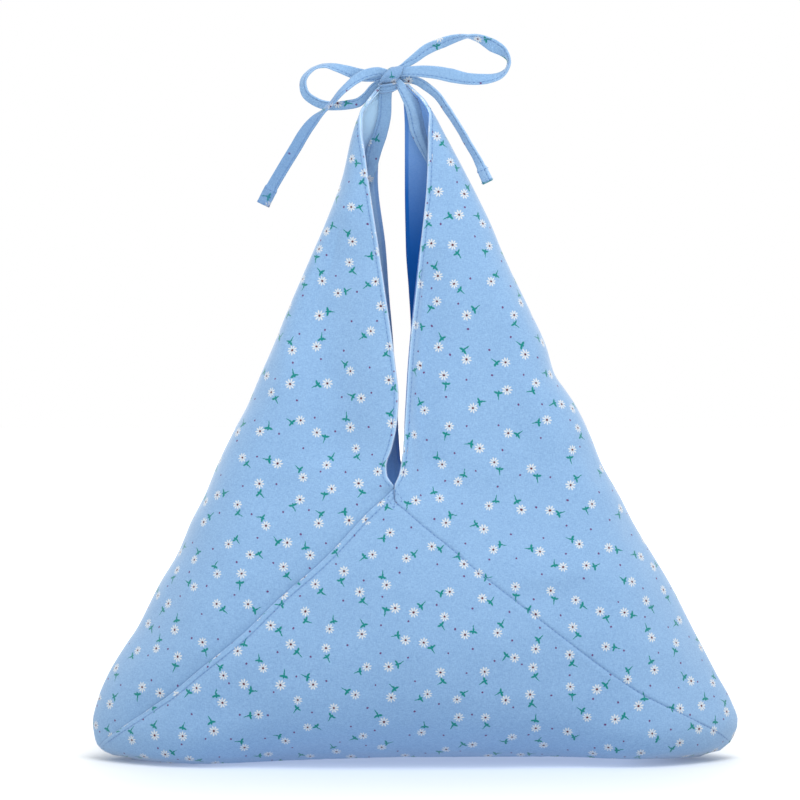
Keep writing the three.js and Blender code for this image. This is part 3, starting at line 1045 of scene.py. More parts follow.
    def build(self, creases: Sequence[Crease], inset: float) -> ClothMesh:
        """Return the welded cloth.

        Args:
            creases: Troughs and ridges.
            inset: How far inside the bag's outer face the cloth lies.

        Returns:
            The mesh.
        """
        grids = {}
        for face in Face:
            for side in Side:
                wing = self.wing(face, side)
                grids[wing.patch] = wing
            base = self.base(face)
            grids[base.patch] = base
        grids[Patch.UNDER] = self.under(grids[Patch.BASE_FRONT], grids[Patch.BASE_BACK])

        faces, patches, index = [], [], {}
        count = 0
        for patch, grid in grids.items():
            rows, columns = grid.points.shape[:2]
            ids = np.arange(count, count + rows * columns).reshape(rows, columns)
            index[patch] = ids
            count += rows * columns
            ring = (ids[:-1, :-1], ids[:-1, 1:], ids[1:, 1:], ids[1:, :-1])
            order = ring[::-1] if grid.face is Face.BACK else ring
            faces.append(np.stack([corner.ravel() for corner in order], axis=1))
            patches.append(np.full(len(faces[-1]), patch.value))
        return self.weld(grids, np.concatenate(faces), np.concatenate(patches), index, creases, inset)

    def weld(self, grids: dict[Patch, Grid], faces: Array, patches: Array, index: dict[Patch, Array],
             creases: Sequence[Crease], inset: float) -> ClothMesh:
        """Join the panels along their shared lines, then lift the hems, seams and creases.

        Args:
            grids: The panels.
            faces: Their quads, numbered through all panels.
            patches: Each quad's patch.
            index: Each panel's point numbers.
            creases: Troughs and ridges.
            inset: How far inside the bag's outer face the cloth lies.

        Returns:
            The mesh.
        """
        points = np.concatenate([grid.points.reshape(-1, 3) for grid in grids.values()])
        # Adding zero makes a minus zero the same as zero.
        rounded = np.round(points, self.digits) + 0.0
        unique, where = np.unique(rounded, axis=0, return_inverse=True)
        where = where.reshape(-1)
        kept, kept_patches = [], []
        for corners, patch in zip(where[faces], patches):
            ring = [int(v) for i, v in enumerate(corners) if v != corners[i - 1]]
            if len(set(ring)) >= 3 and len(set(ring)) == len(ring):
                kept.append(tuple(ring))
                kept_patches.append(patch)
        shares = np.bincount(where)
        parts = [np.concatenate([grid.relief[i].ravel() for grid in grids.values()]) for i in range(3)]
        relief = Relief(*(np.bincount(where, weights=part) / shares for part in parts))
        normals = vertex_normals(unique, kept)
        height = relief.height + self.soft_height(unique, creases) + self.pucker(unique, relief.pucker)
        moved = self.settle(unique + normals * (height - inset)[:, None], unique, inset)
        index = {patch: where[ids] for patch, ids in index.items()}
        patches = np.array(kept_patches)
        return ClothMesh(moved, kept, patches, vertex_normals(moved, kept), relief.tone, grids, index)

    def pucker(self, points: Array, share: Array) -> Array:
        """Return the small waves that the stitches pull into the cloth.

        Args:
            points: Points of the cloth.
            share: How much each one is puckered.

        Returns:
            A height for each point.
        """
        height = np.zeros(len(points))
        for i in np.flatnonzero(share > self.pucker_least):
            height[i] = share[i] * self.pucker_height * noise.noise(Vector(points[i]) / self.pucker_size)
        return height

    def soft_height(self, points: Array, creases: Sequence[Crease]) -> Array:
        """Return the lift of the creases and of the cloth's unevenness.

        Args:
            points: Points of the cloth.
            creases: Troughs and ridges.

        Returns:
            A height for each point.
        """
        x, y, z = points.T
        from_left, from_right = x - self.form.outline[Side.LEFT](z), self.form.outline[Side.RIGHT](z) - x
        inside = smooth(0, self.side_fade, np.minimum(from_left, from_right))
        total = np.zeros(len(points))
        for crease in creases:
            facing = smooth(0, self.face_fade, crease.face.value * y)
            total += facing * inside * crease.rise(x, z)
        for size, strength in self.waves:
            total += inside * strength * np.array([noise.noise(Vector(p) / size) for p in points])
        return total * smooth(*self.ground_fade, z)

    def settle(self, moved: Array, base: Array, inset: float) -> Array:
        """Keep the cloth off the ground and lift the front's bottom edge as it hangs.

        Args:
            moved: The cloth's points.
            base: The same points before hems and creases.
            inset: How far inside the bag's outer face the cloth lies.

        Returns:
            The settled points.
        """
        x, y, z = base.T
        front = np.clip((self.rest_y - y) / self.rise_run, 0, 1)
        result = moved.copy()
        result[:, 2] += self.form.lift(x) * front * hump(z, 0, self.lift_height)
        result[:, 2] = np.maximum(result[:, 2], max(inset, self.clear))
        return result


@dataclass
class Print:
    """Where the print's motifs and dots fall on a cloth, scattered by a fixed seed."""

    seed: int
    motif_room: float = 0.0159
    dot_room: float = 0.0146
    dot_clear: float = 0.0084
    motif_reach: float = 0.0068
    dot_reach: float = 0.0014
    turn_cost: float = 0.012
    tries: int = 40
    twist_most: float = 1.2
    sizes: Pair = (0.94, 1.08)
    stretch_most: float = 1.5
    upright: float = 0.8
    chunk: int = 2000
    apart: dict[Patch, tuple[Patch, ...]] = field(default_factory=lambda: {
        Patch.LEFT_FRONT: (Patch.BASE_FRONT, Patch.RIGHT_FRONT, Patch.RIGHT_BACK),
        Patch.BASE_FRONT: (Patch.LEFT_FRONT,),
        Patch.RIGHT_FRONT: (Patch.LEFT_FRONT, Patch.LEFT_BACK),
        Patch.RIGHT_BACK: (Patch.BASE_BACK, Patch.LEFT_BACK, Patch.LEFT_FRONT),
        Patch.BASE_BACK: (Patch.RIGHT_BACK,),
        Patch.LEFT_BACK: (Patch.RIGHT_BACK, Patch.RIGHT_FRONT),
        Patch.UNDER: (),
        Patch.TIE_FRONT: (Patch.TIE_BACK,),
        Patch.TIE_BACK: (Patch.TIE_FRONT,),
    })

    def __post_init__(self) -> None:
        """Start the random draws."""
        self.random = np.random.default_rng(self.seed)

    def scatter(self, spots: Array, areas: Array, room: float, count: int, taken: Array) -> list[int]:
        """Pick well spaced faces.

        Args:
            spots: The faces' middles and weighted normals, six numbers each.
            areas: Their areas, by which they are drawn.
            room: The least distance between two picks.
            count: How many faces to try.
            taken: Spots that the picks keep clear of.

        Returns:
            The picked faces' numbers.
        """
        picked: list[int] = []
        chosen = np.zeros((0, 6))
        for i in self.random.choice(len(spots), count, p=areas / areas.sum()):
            spot = spots[i]
            if len(taken) and np.min(np.linalg.norm(taken - spot, axis=1)) < self.dot_clear:
                continue
            if len(chosen) and np.min(np.linalg.norm(chosen - spot, axis=1)) < room:
                continue
            picked.append(int(i))
            chosen = np.vstack([chosen, spot])
        return picked

    def apply(self, mesh: Mesh, patches: Array | None) -> int:
        """Write the print's local coordinates and kinds to a mesh.

        Args:
            mesh: The cloth.
            patches: Each face's patch, or None where any two faces may share a motif.

        Returns:
            How many motifs there are.
        """
        count = len(mesh.polygons)
        centres, normals, areas = np.zeros(count * 3), np.zeros(count * 3), np.zeros(count)
        mesh.polygons.foreach_get("center", centres)
        mesh.polygons.foreach_get("normal", normals)
        mesh.polygons.foreach_get("area", areas)
        centres, normals = centres.reshape(-1, 3), normals.reshape(-1, 3)
        spots = np.concatenate([centres, normals * self.turn_cost], axis=1)
        tries = int(areas.sum() / self.motif_room**2 * self.tries)
        motifs = self.scatter(spots, areas, self.motif_room, tries, np.zeros((0, 6)))
        dots = self.scatter(spots, areas, self.dot_room, tries, spots[motifs])
        seeds = np.array(motifs + dots)
        is_dot = np.arange(len(seeds)) >= len(motifs)
        owner = self.nearest(spots, seeds, np.where(is_dot, self.dot_reach, self.motif_reach), patches)
        self.write(mesh, seeds, owner, is_dot, centres, normals)
        return len(motifs)

    def nearest(self, spots: Array, seeds: Array, reach: Array, patches: Array | None) -> Array:
        """Return each face's motif or dot: the nearest one that no cut or seam parts from it.

        Args:
            spots: The faces' middles and weighted normals.
            seeds: The picked faces.
            reach: How much larger each pick's own ground is.
            patches: Each face's patch, or None.

        Returns:
            A pick's number for each face.
        """
        owner = np.zeros(len(spots), int)
        for group in [None] if patches is None else list(Patch):
            members = np.arange(len(spots)) if group is None else np.flatnonzero(patches == group.value)
            barred = np.zeros(len(seeds), bool)
            if group is not None:
                barred = np.isin(patches[seeds], [patch.value for patch in self.apart[group]])
            for part in np.array_split(members, max(1, len(members) // self.chunk)):
                away = np.linalg.norm(spots[part][:, None] - spots[seeds][None], axis=2) - reach
                away[:, barred] = np.inf
                owner[part] = away.argmin(axis=1)
        return owner

    def write(self, mesh: Mesh, seeds: Array, owner: Array, is_dot: Array, centres: Array,
              normals: Array) -> None:
        """Store each corner's place in its motif, in millimetres, and each face's kind and turn.

        Args:
            mesh: The cloth.
            seeds: The picked faces.
            owner: Each face's pick.
            is_dot: Which picks are dots.
            centres: The faces' middles.
            normals: The faces' normals.
        """
        angle = self.random.uniform(0, 2 * math.pi, len(seeds))
        flip = self.random.choice([-1.0, 1.0], len(seeds))
        twist = self.random.uniform(-self.twist_most, self.twist_most, len(seeds))
        size = self.random.uniform(*self.sizes, len(seeds))
        n = normals[seeds]
        helper = np.where(np.abs(n[:, 2:3]) < self.upright, [[0.0, 0.0, 1.0]], [[1.0, 0.0, 0.0]])
        across = np.cross(helper, n)
        across /= np.linalg.norm(across, axis=1, keepdims=True)
        upward = np.cross(n, across)
        first = np.cos(angle)[:, None] * across + np.sin(angle)[:, None] * upward
        second = (np.cos(angle)[:, None] * upward - np.sin(angle)[:, None] * across) * flip[:, None]

        vertex = np.zeros(len(mesh.loops), int)
        mesh.loops.foreach_get("vertex_index", vertex)
        totals = np.zeros(len(owner), int)
        mesh.polygons.foreach_get("loop_total", totals)
        of_corner = np.repeat(owner, totals)
        points = np.zeros(len(mesh.vertices) * 3)
        mesh.vertices.foreach_get("co", points)
        away = points.reshape(-1, 3)[vertex] - centres[seeds][of_corner]
        u = (away * first[of_corner]).sum(1)
        v = (away * second[of_corner]).sum(1)
        flat = np.maximum(np.hypot(u, v), TINY)
        stretch = np.clip(np.linalg.norm(away, axis=1) / flat, 1, self.stretch_most) / MM / size[of_corner]
        uv = mesh.uv_layers.new(name="print")
        uv.data.foreach_set("uv", np.stack([u * stretch, v * stretch], axis=1).ravel())
        store(mesh, "dot", "FACE", is_dot[owner])
        store(mesh, "twist", "FACE", twist[owner])


def store(mesh: Mesh, name: str, domain: str, values: Array) -> None:
    """Add a number for each point or face of a mesh."""
    attribute = mesh.attributes.new(name, "FLOAT", domain)
    attribute.data.foreach_set("value", np.asarray(values, np.float32))


def add_node(tree: NodeTree, kind: str, settings: dict[str, Any], inputs: dict[str | int, Any]) -> Node:
    """Make a node in a tree.

    Args:
        tree: The node tree.
        kind: The node's type.
        settings: Its properties, set before its sockets.
        inputs: Values, or sockets to link, by socket name or number.

    Returns:
        The node.
    """
    made = tree.nodes.new(kind)
    for key, value in settings.items():
        setattr(made, key, value)
    for key, value in inputs.items():
        if isinstance(value, NodeSocket):
            tree.links.new(value, made.inputs[key])
        else:
            made.inputs[key].default_value = value
    return made


class Value:
    """A shader socket that takes part in arithmetic."""

    def __init__(self, graph: "Graph", socket: NodeSocket) -> None:
        """Wrap a socket of that graph."""
        self.graph = graph
        self.socket = socket

    def __add__(self, other: "Value | float") -> "Value":
        """Return self + other."""
        return self.graph.math("ADD", self, other)

    __radd__ = __add__

    def __sub__(self, other: "Value | float") -> "Value":
        """Return self - other."""
        return self.graph.math("SUBTRACT", self, other)

    def __rsub__(self, other: float) -> "Value":
        """Return other - self."""
        return self.graph.math("SUBTRACT", other, self)

    def __mul__(self, other: "Value | float") -> "Value":
        """Return self * other."""
        return self.graph.math("MULTIPLY", self, other)

    __rmul__ = __mul__

    def __truediv__(self, other: "Value | float") -> "Value":
        """Return self / other."""
        return self.graph.math("DIVIDE", self, other)

    def __neg__(self) -> "Value":
        """Return -self."""
        return self.graph.math("MULTIPLY", self, -1.0)


class Graph:
    """A material's node tree, with one method that makes any node."""

    def __init__(self, name: str) -> None:
        """Start an empty material with its output.

        Args:
            name: The material's name.
        """
        self.material = bpy.data.materials.new(name)
        self.material.use_nodes = True
        self.tree = self.material.node_tree
        self.tree.nodes.clear()
        self.output = self.node("ShaderNodeOutputMaterial")

    def node(self, kind: str, settings: dict[str, Any] | None = None,
             inputs: dict[str | int, Any] | None = None) -> Node:
        """Make a node.

        Args:
            kind: The node's type.
            settings: Its properties, set before its sockets.
            inputs: Values or links by socket name or number.

        Returns:
            The node.
        """
        plain = {key: value.socket if isinstance(value, Value) else value
                 for key, value in (inputs or {}).items()}
        return add_node(self.tree, kind, settings or {}, plain)

    def out(self, node: Node, key: str | int = 0) -> Value:
        """Return a node's output as a value."""
        return Value(self, node.outputs[key])

    def math(self, operation: str, *values: "Value | float", clamp: bool = False) -> Value:
        """Return the result of a Math node on up to three values."""
        settings = {"operation": operation, "use_clamp": clamp}
        return self.out(self.node("ShaderNodeMath", settings, dict(enumerate(values))))

    def unit(self, value: Value) -> Value:
        """Return the value, held between 0 and 1."""
        return self.math("ADD", value, 0.0, clamp=True)

    def mix(self, factor: "Value | float", low: Any, high: Any) -> Value:
        """Return a colour between two colours."""
        inputs = {0: factor, 6: low, 7: high}
        return self.out(self.node("ShaderNodeMix", {"data_type": "RGBA"}, inputs), 2)

    def noise(self, place: Value, size: float, detail: float) -> Value:
        """Return noise of that size over a place, about 0.5."""
        inputs = {"Vector": place, "Scale": 1 / size, "Detail": detail}
        return self.out(self.node("ShaderNodeTexNoise", None, inputs), 0)

    def objects(self) -> Value:
        """Return Object coordinates."""
        return self.out(self.node("ShaderNodeTexCoord"), "Object")

    def stretched(self, place: Value, scale: Place) -> Value:
        """Return a place scaled on each axis."""
        inputs = {"Vector": place, "Scale": scale}
        return self.out(self.node("ShaderNodeMapping", {"vector_type": "POINT"}, inputs))

    def attribute(self, name: str) -> Value:
        """Return a number stored on the mesh."""
        return self.out(self.node("ShaderNodeAttribute", {"attribute_name": name}), "Fac")

    def split(self, place: Value) -> tuple[Value, Value]:
        """Return a place's first two coordinates."""
        made = self.node("ShaderNodeSeparateXYZ", None, {0: place})
        return self.out(made, 0), self.out(made, 1)

    def radius(self, x: Value, y: Value) -> Value:
        """Return a place's distance from the middle."""
        return self.math("SQRT", x * x + y * y)

    def surface(self, inputs: dict[str, Any]) -> Material:
        """Make the surface from its inputs and return the material.

        Args:
            inputs: Values or links by socket name.

        Returns:
            The material.
        """
        made = self.node("ShaderNodeBsdfPrincipled", None, inputs)
        self.tree.links.new(made.outputs[0], self.output.inputs[0])
        return self.material


def linear(red: int, green: int, blue: int) -> tuple[float, float, float, float]:
    """Return a screen colour of 0 to 255 as a linear colour.

    Args:
        red: The red part.
        green: The green part.
        blue: The blue part.

    Returns:
        The colour, with full cover.
    """
    parts = [c / 255 for c in (red, green, blue)]
    lit = [c / 12.92 if c <= 0.04045 else ((c + 0.055) / 1.055) ** 2.4 for c in parts]
    return (*lit, 1.0)


@dataclass(frozen=True)
class ClothFinish:
    """Plain woven cotton with lighter and darker yarns, with painted highlights on hem edges and painted
    shade along stitches.
    """

    name: str
    color: Color
    light: Color
    dark: Color
    rough: float = 0.92
    yarn: float = 0.0005
    warp: Place = (1, 1, 0.3)
    weft: Place = (0.3, 0.3, 1)
    fleck_gain: float = 1.5
    fleck_share: float = 0.60
    cloud_yarns: float = 36
    cloud_gain: float = 1.6
    cloud_share: float = 0.16
    bump: float = 0.00006
    bump_strength: float = 0.7
    rumple: float = 0.0003
    rumple_size: float = 0.006
    sheen: float = 0.45
    sheen_rough: float = 0.45
    shine: float = 0.25
    # pale is the colour of painted highlights and deep the colour of painted shade; the tone mixes them in.
    pale: Color = (192, 214, 236)
    deep: Color = (58, 92, 136)
    worn_share: float = 0.6

    def ground(self, graph: Graph) -> tuple[Value, Value]:
        """Return the cloth's colour and its bump height, in metres.

        Args:
            graph: The material's nodes.

        Returns:
            The colour and the height.
        """
        place = graph.objects()
        warp = graph.noise(graph.stretched(place, self.warp), self.yarn, detail=1)
        weft = graph.noise(graph.stretched(place, self.weft), self.yarn, detail=1)
        cloud = graph.noise(place, self.cloud_yarns * self.yarn, detail=3)
        fleck = graph.unit((warp + weft - 1.0) * self.fleck_gain + 0.5)
        patchy = graph.unit((cloud - 0.5) * self.cloud_gain + 0.5)
        color = graph.mix(fleck, linear(*self.dark), linear(*self.light))
        color = graph.mix(1 - self.fleck_share, color, linear(*self.color))
        color = graph.mix(patchy * self.cloud_share, color, linear(*self.light))
        return color, (warp + weft) * self.bump

    def worn(self, graph: Graph, color: Value) -> Value:
        """Return the colour with painted light: paler where the tone is above zero, as a painted highlight,
        and darker where it is below, as painted shade.

        Args:
            graph: The material's nodes.
            color: The cloth's colour.

        Returns:
            The colour.
        """
        tone = graph.attribute("tone")
        color = graph.mix(graph.unit(tone) * self.worn_share, color, linear(*self.pale))
        return graph.mix(graph.unit(-tone) * self.worn_share, color, linear(*self.deep))

    def shade(self, graph: Graph, color: Value, height: Value) -> Material:
        """Join colour and height to the surface and return the material.

        Args:
            graph: The material's nodes.
            color: The cloth's colour.
            height: Its bump height.

        Returns:
            The material.
        """
        rumple = graph.noise(graph.objects(), self.rumple_size, detail=2) * self.rumple
        bump = {"Strength": self.bump_strength, "Distance": 1.0, "Height": height + rumple}
        return graph.surface({
            "Base Color": color,
            "Roughness": self.rough,
            "Sheen Weight": self.sheen,
            "Sheen Roughness": self.sheen_rough,
            "Specular IOR Level": self.shine,
            "Normal": graph.out(graph.node("ShaderNodeBump", None, bump)),
        })

    def build(self) -> Material:
        """Return the material.

        Returns:
            The material.
        """
        graph = Graph(self.name)
        color, height = self.ground(graph)
        return self.shade(graph, self.worn(graph, color), height)


class Leaf(NamedTuple):
    """A leaf of the sprig, in millimetres from its middle, at an angle in degrees."""

    angle: float
    middle: float
    half_length: float
    half_width: float


@dataclass(frozen=True)
class PrintFinish(ClothFinish):
    """The cloth's print: daisies with a sprig beside each, and small dots. Sizes in millimetres."""

    petals: int = 9
    petal_middle: float = 1.95
    petal_half: float = 1.30
    petal_wide: float = 0.52
    petal_gain: float = 1.5
    heart: float = 0.90
    heart_rim: float = 0.2
    daisy_x: float = -2.9
    sprig_x: float = 2.6
    leaf_gain: float = 1.6
    dot: float = 0.72
    soft: float = 0.20
    wobble_size: float = 0.0013
    wobble: Pair = (0.8, 0.7)
    white: Color = (192, 193, 192)
    white_share: float = 0.92
    maroon: Color = (76, 26, 46)
    green: Color = (0, 112, 108)
    purple: Color = (84, 20, 82)
    purple_share: float = 0.9
    leaves: tuple[Leaf, ...] = (
        Leaf(112, 1.25, 1.75, 0.74),
        Leaf(-104, 1.20, 1.65, 0.76),
        Leaf(176, 0.60, 1.35, 0.72),
        Leaf(8, 0.90, 1.30, 0.62),
        Leaf(14, 2.40, 1.85, 0.34),
    )

    def daisy(self, graph: Graph, x: Value, y: Value) -> tuple[Value, Value]:
        """Return how much a place is petal, and how much it is the flower's heart.

        Args:
            graph: The material's nodes.
            x: Places across, in millimetres.
            y: Places up, in millimetres.

        Returns:
            The two shares.
        """
        radius = graph.radius(x, y)
        sector = math.pi / self.petals
        turn = graph.math("WRAP", graph.math("ARCTAN2", y, x), sector, -sector)
        along = (radius * graph.math("COSINE", turn) - self.petal_middle) / self.petal_half
        across = radius * graph.math("SINE", turn) / self.petal_wide
        petal = graph.unit((1.0 - along * along - across * across) * self.petal_gain)
        inner = graph.unit((self.heart + self.heart_rim - radius) / self.soft)
        heart = graph.unit((self.heart - radius) / (2 * self.soft))
        return graph.math("MAXIMUM", petal, inner), heart

    def sprig(self, graph: Graph, x: Value, y: Value) -> Value:
        """Return how much a place is sprig: inside any of its leaves.

        Args:
            graph: The material's nodes.
            x: Places across, in millimetres.
            y: Places up, in millimetres.

        Returns:
            The share.
        """
        most: Value | None = None
        for leaf in self.leaves:
            cosine, sine = math.cos(math.radians(leaf.angle)), math.sin(math.radians(leaf.angle))
            along = (x * cosine + y * sine - leaf.middle) / leaf.half_length
            across = (y * cosine - x * sine) / leaf.half_width
            inside = 1.0 - along * along - across * across
            most = inside if most is None else graph.math("MAXIMUM", most, inside)
        return graph.unit(most * self.leaf_gain)

    def build(self) -> Material:
        """Return the printed cloth's material.

        Returns:
            The material.
        """
        graph = Graph(self.name)
        color, height = self.ground(graph)
        u, v = graph.split(graph.out(graph.node("ShaderNodeUVMap", {"uv_map": "print"})))
        wobble = graph.noise(graph.objects(), self.wobble_size, detail=1) - 0.5
        u = u + wobble * self.wobble[0]
        v = v - wobble * self.wobble[1]
        is_dot, twist = graph.attribute("dot"), graph.attribute("twist")
        is_motif = 1.0 - is_dot
        petal, heart = self.daisy(graph, u - self.daisy_x, v)
        cosine, sine = graph.math("COSINE", twist), graph.math("SINE", twist)
        from_sprig = u - self.sprig_x
        sprig = self.sprig(graph, from_sprig * cosine + v * sine, v * cosine - from_sprig * sine)
        dot = graph.unit((self.dot - graph.radius(u, v)) / self.soft)
        color = graph.mix(sprig * is_motif, color, linear(*self.green))
        color = graph.mix(petal * is_motif * self.white_share, color, linear(*self.white))
        color = graph.mix(heart * is_motif, color, linear(*self.maroon))
        color = graph.mix(dot * is_dot * self.purple_share, color, linear(*self.purple))
        return self.shade(graph, self.worn(graph, color), height)


@dataclass(frozen=True)
class FloorFinish:
    """A white floor with a painted shadow round the bag's foot; it glows there and far away, so the shadow is
    soft.
    """

    color: Color = (236, 237, 237)
    shade: Color = (170, 176, 182)
    # near is a glow under and round the bag: painted light that brightens the shadow and the bag's underside.
    near: Color = (154, 166, 190)
    far: Color = (184, 184, 184)
    half: Pair = (0.212, 0.250)
    gain: float = 1.25
    start: float = 0.30
    reach: float = 0.40
    rough: float = 0.9

    def build(self) -> Material:
        """Return the material.

        Returns:
            The material.
        """
        graph = Graph("pale_floor")
        place = graph.objects()
        away = graph.out(graph.node("ShaderNodeVectorMath", {"operation": "LENGTH"}, {0: place}), "Value")
        x, y = graph.split(place)
        side, front = x / self.half[0], y / self.half[1]
        square = side * side
        oval = graph.math("SQRT", square * square * square + front * front)
        soft = graph.unit((1.0 - oval) * self.gain)
        close = graph.mix(soft * soft, linear(0, 0, 0), linear(*self.near))
        share = graph.unit((away - self.start) / self.reach)
        return graph.surface({
            "Base Color": graph.mix(soft, linear(*self.color), linear(*self.shade)),
            "Roughness": self.rough,
            "Specular IOR Level": 0.0,
            "Emission Color": graph.mix(share, close, linear(*self.far)),
            "Emission Strength": 1.0,
        })


PRINTED = PrintFinish("printed_cotton", (117, 150, 185), (134, 166, 198), (100, 134, 173))
# The lining's pale is painted light in the left tip and its deep blue is painted shade inside the right wing.
LINING = ClothFinish("plain_cotton", (136, 170, 208), (148, 180, 214), (124, 160, 202),
                     pale=(176, 204, 222), deep=(0, 96, 180), worn_share=1.0)
# The thread is darker than the cloth, as painted shade along the stitches.
THREAD = ClothFinish("sewing_thread", (84, 118, 166), (100, 134, 182), (68, 102, 150), yarn=0.0003, rumple=0)


def show(name: str, data: ID) -> Object:
    """Return a new object with that data, linked to the scene.

    Args:
        name: The object's name.
        data: Its mesh, light or camera.

    Returns:
        The object.
    """
    made = bpy.data.objects.new(name, data)
    bpy.context.scene.collection.objects.link(made)
    return made


def new_object(name: str, points: Array, faces: Faces) -> Object:
    """Return a smooth mesh object at the origin.

    Args:
        name: The object's name.
        points: Its points.
        faces: Its faces.

    Returns:
        The object.
    """
    mesh = bpy.data.meshes.new(name)
    mesh.from_pydata([tuple(p) for p in points], [], list(faces))
    mesh.update()
    mesh.polygons.foreach_set("use_smooth", [True] * len(mesh.polygons))
    return show(name, mesh)


@dataclass
class StitchRow:
    """A line that a row of stitches follows, with the cloth's normals along it."""

    points: Array
    normals: Array


class StitchTree:
    """A Geometry Nodes tree that lays thread stitches along lines."""

    def __init__(self) -> None:
        """Build the tree with its named inputs."""
        self.tree = bpy.data.node_groups.new("stitches", "GeometryNodeTree")
        face = self.tree.interface
        self.ids = {}
        face.new_socket("Geometry", in_out="INPUT", socket_type="NodeSocketGeometry")
        kinds = dict.fromkeys(("Pitch", "Length", "Thread", "Uneven"), "NodeSocketFloat")
        kinds |= {"Seed": "NodeSocketInt", "Finish": "NodeSocketMaterial"}
        for name, kind in kinds.items():
            self.ids[name] = face.new_socket(name, in_out="INPUT", socket_type=kind).identifier
        face.new_socket("Geometry", in_out="OUTPUT", socket_type="NodeSocketGeometry")
        self.wire()

    def node(self, kind: str, settings: dict[str, Any], inputs: dict[str | int, Any],
             out: int = 0) -> NodeSocket:
        """Make a node with its settings, then its values and links, and return one of its outputs."""
        return add_node(self.tree, kind, settings, inputs).outputs[out]

    def wire(self) -> None:
        """Join the nodes: a resampled line, a bead on each point, turned along it, made real."""
        start = add_node(self.tree, "NodeGroupInput", {}, {}).outputs
        curve = self.node("GeometryNodeMeshToCurve", {}, {0: start["Geometry"]})
        spaced = self.node("GeometryNodeResampleCurve", {"mode": "LENGTH"},
                           {"Curve": curve, "Length": start["Pitch"]})
        bead = self.node("GeometryNodeMeshUVSphere", {}, {"Segments": 6, "Rings": 4, "Radius": 0.5})
        up = self.node("GeometryNodeInputNamedAttribute", {"data_type": "FLOAT_VECTOR"}, {"Name": "up"})
        tangent = self.node("GeometryNodeInputTangent", {}, {})
        along = self.node("FunctionNodeAlignRotationToVector", {"axis": "X"}, {"Vector": tangent})
        turned = self.node("FunctionNodeAlignRotationToVector", {"axis": "Z", "pivot_axis": "X"},
                           {"Rotation": along, "Vector": up})
        low = self.node("ShaderNodeMath", {"operation": "SUBTRACT"}, {0: 1.0, 1: start["Uneven"]})
        high = self.node("ShaderNodeMath", {"operation": "ADD"}, {0: 1.0, 1: start["Uneven"]})
        draw = self.node("FunctionNodeRandomValue", {"data_type": "FLOAT"},
                         {2: low, 3: high, "Seed": start["Seed"]}, 1)
        length = self.node("ShaderNodeMath", {"operation": "MULTIPLY"}, {0: start["Length"], 1: draw})
        size = self.node("ShaderNodeCombineXYZ", {}, {0: length, 1: start["Thread"], 2: start["Thread"]})
        placed = self.node("GeometryNodeInstanceOnPoints", {},
                           {"Points": spaced, "Instance": bead, "Rotation": turned, "Scale": size})
        real = self.node("GeometryNodeRealizeInstances", {}, {0: placed})
        dressed = self.node("GeometryNodeSetMaterial", {}, {"Geometry": real, "Material": start["Finish"]})
        add_node(self.tree, "NodeGroupOutput", {}, {0: dressed})


@dataclass
class Stitching:
    """Rows of stitches joined into one piece."""

    tree: StitchTree
    material: Material
    pitch: float = 0.0028
    length: float = 0.0020
    thread: float = 0.00055
    uneven: float = 0.15

    def build(self, name: str, rows: Sequence[StitchRow]) -> Object:
        """Return the stitches along those rows as a plain mesh.

        Args:
            name: The piece's name.
            rows: The lines to sew along.

        Returns:
            The piece.
        """
        points = np.concatenate([row.points for row in rows])
        ups = np.concatenate([row.normals for row in rows])
        edges, start = [], 0
        for row in rows:
            edges += [(start + i, start + i + 1) for i in range(len(row.points) - 1)]
            start += len(row.points)
        mesh = bpy.data.meshes.new(name + "_lines")
        mesh.from_pydata([tuple(p) for p in points], edges, [])
        attribute = mesh.attributes.new("up", "FLOAT_VECTOR", "POINT")
        attribute.data.foreach_set("vector", ups.ravel())
        lines = show(name + "_lines", mesh)
        modifier = lines.modifiers.new("stitches", "NODES")
        modifier.node_group = self.tree.tree
        values = {"Pitch": self.pitch, "Length": self.length, "Thread": self.thread,
                  "Uneven": self.uneven, "Seed": SEED, "Finish": self.material}
        for key, value in values.items():
            modifier[self.tree.ids[key]] = value
        bpy.context.view_layer.update()
        evaluated = lines.evaluated_get(bpy.context.evaluated_depsgraph_get())
        result = bpy.data.meshes.new_from_object(evaluated)
        lines.modifiers.remove(modifier)
        bpy.data.objects.remove(lines)
        bpy.data.meshes.remove(mesh)
        result.polygons.foreach_set("use_smooth", [True] * len(result.polygons))
        return show(name, result)


@dataclass(frozen=True)
class Tack:
    """The small stitched square, crossed once, that closes the foot of a slit."""

    front_x: float = -0.0121
    below: float = 0.0072
    half: float = 0.0034
    turn: float = math.radians(40)
    corners: tuple[tuple[int, int], ...] = ((-1, -1), (1, -1), (1, 1), (-1, 1), (-1, -1), (1, 1))
    points: int = 5

    def path(self) -> list[Vector]:
        """Return the places along the square and its cross, from its middle.

        Returns:
            The places, in the plane that faces the front.
        """
        found = []
        cosine, sine = math.cos(self.turn), math.sin(self.turn)
        for (a, b), (c, d) in zip(self.corners, self.corners[1:]):
            for share in np.linspace(0, 1, self.points):
                u, v = self.half * (a + (c - a) * share), self.half * (b + (d - b) * share)
                found.append(Vector((u * cosine - v * sine, 0, u * sine + v * cosine)))
        return found


class Shade(NamedTuple):
    """A tone that comes in between two heights."""

    tone: float
    start: float
    end: float

    def at(self, z: Array) -> Array:
        """Return the tone at heights."""
        return self.tone * smooth(self.start, self.end, z)


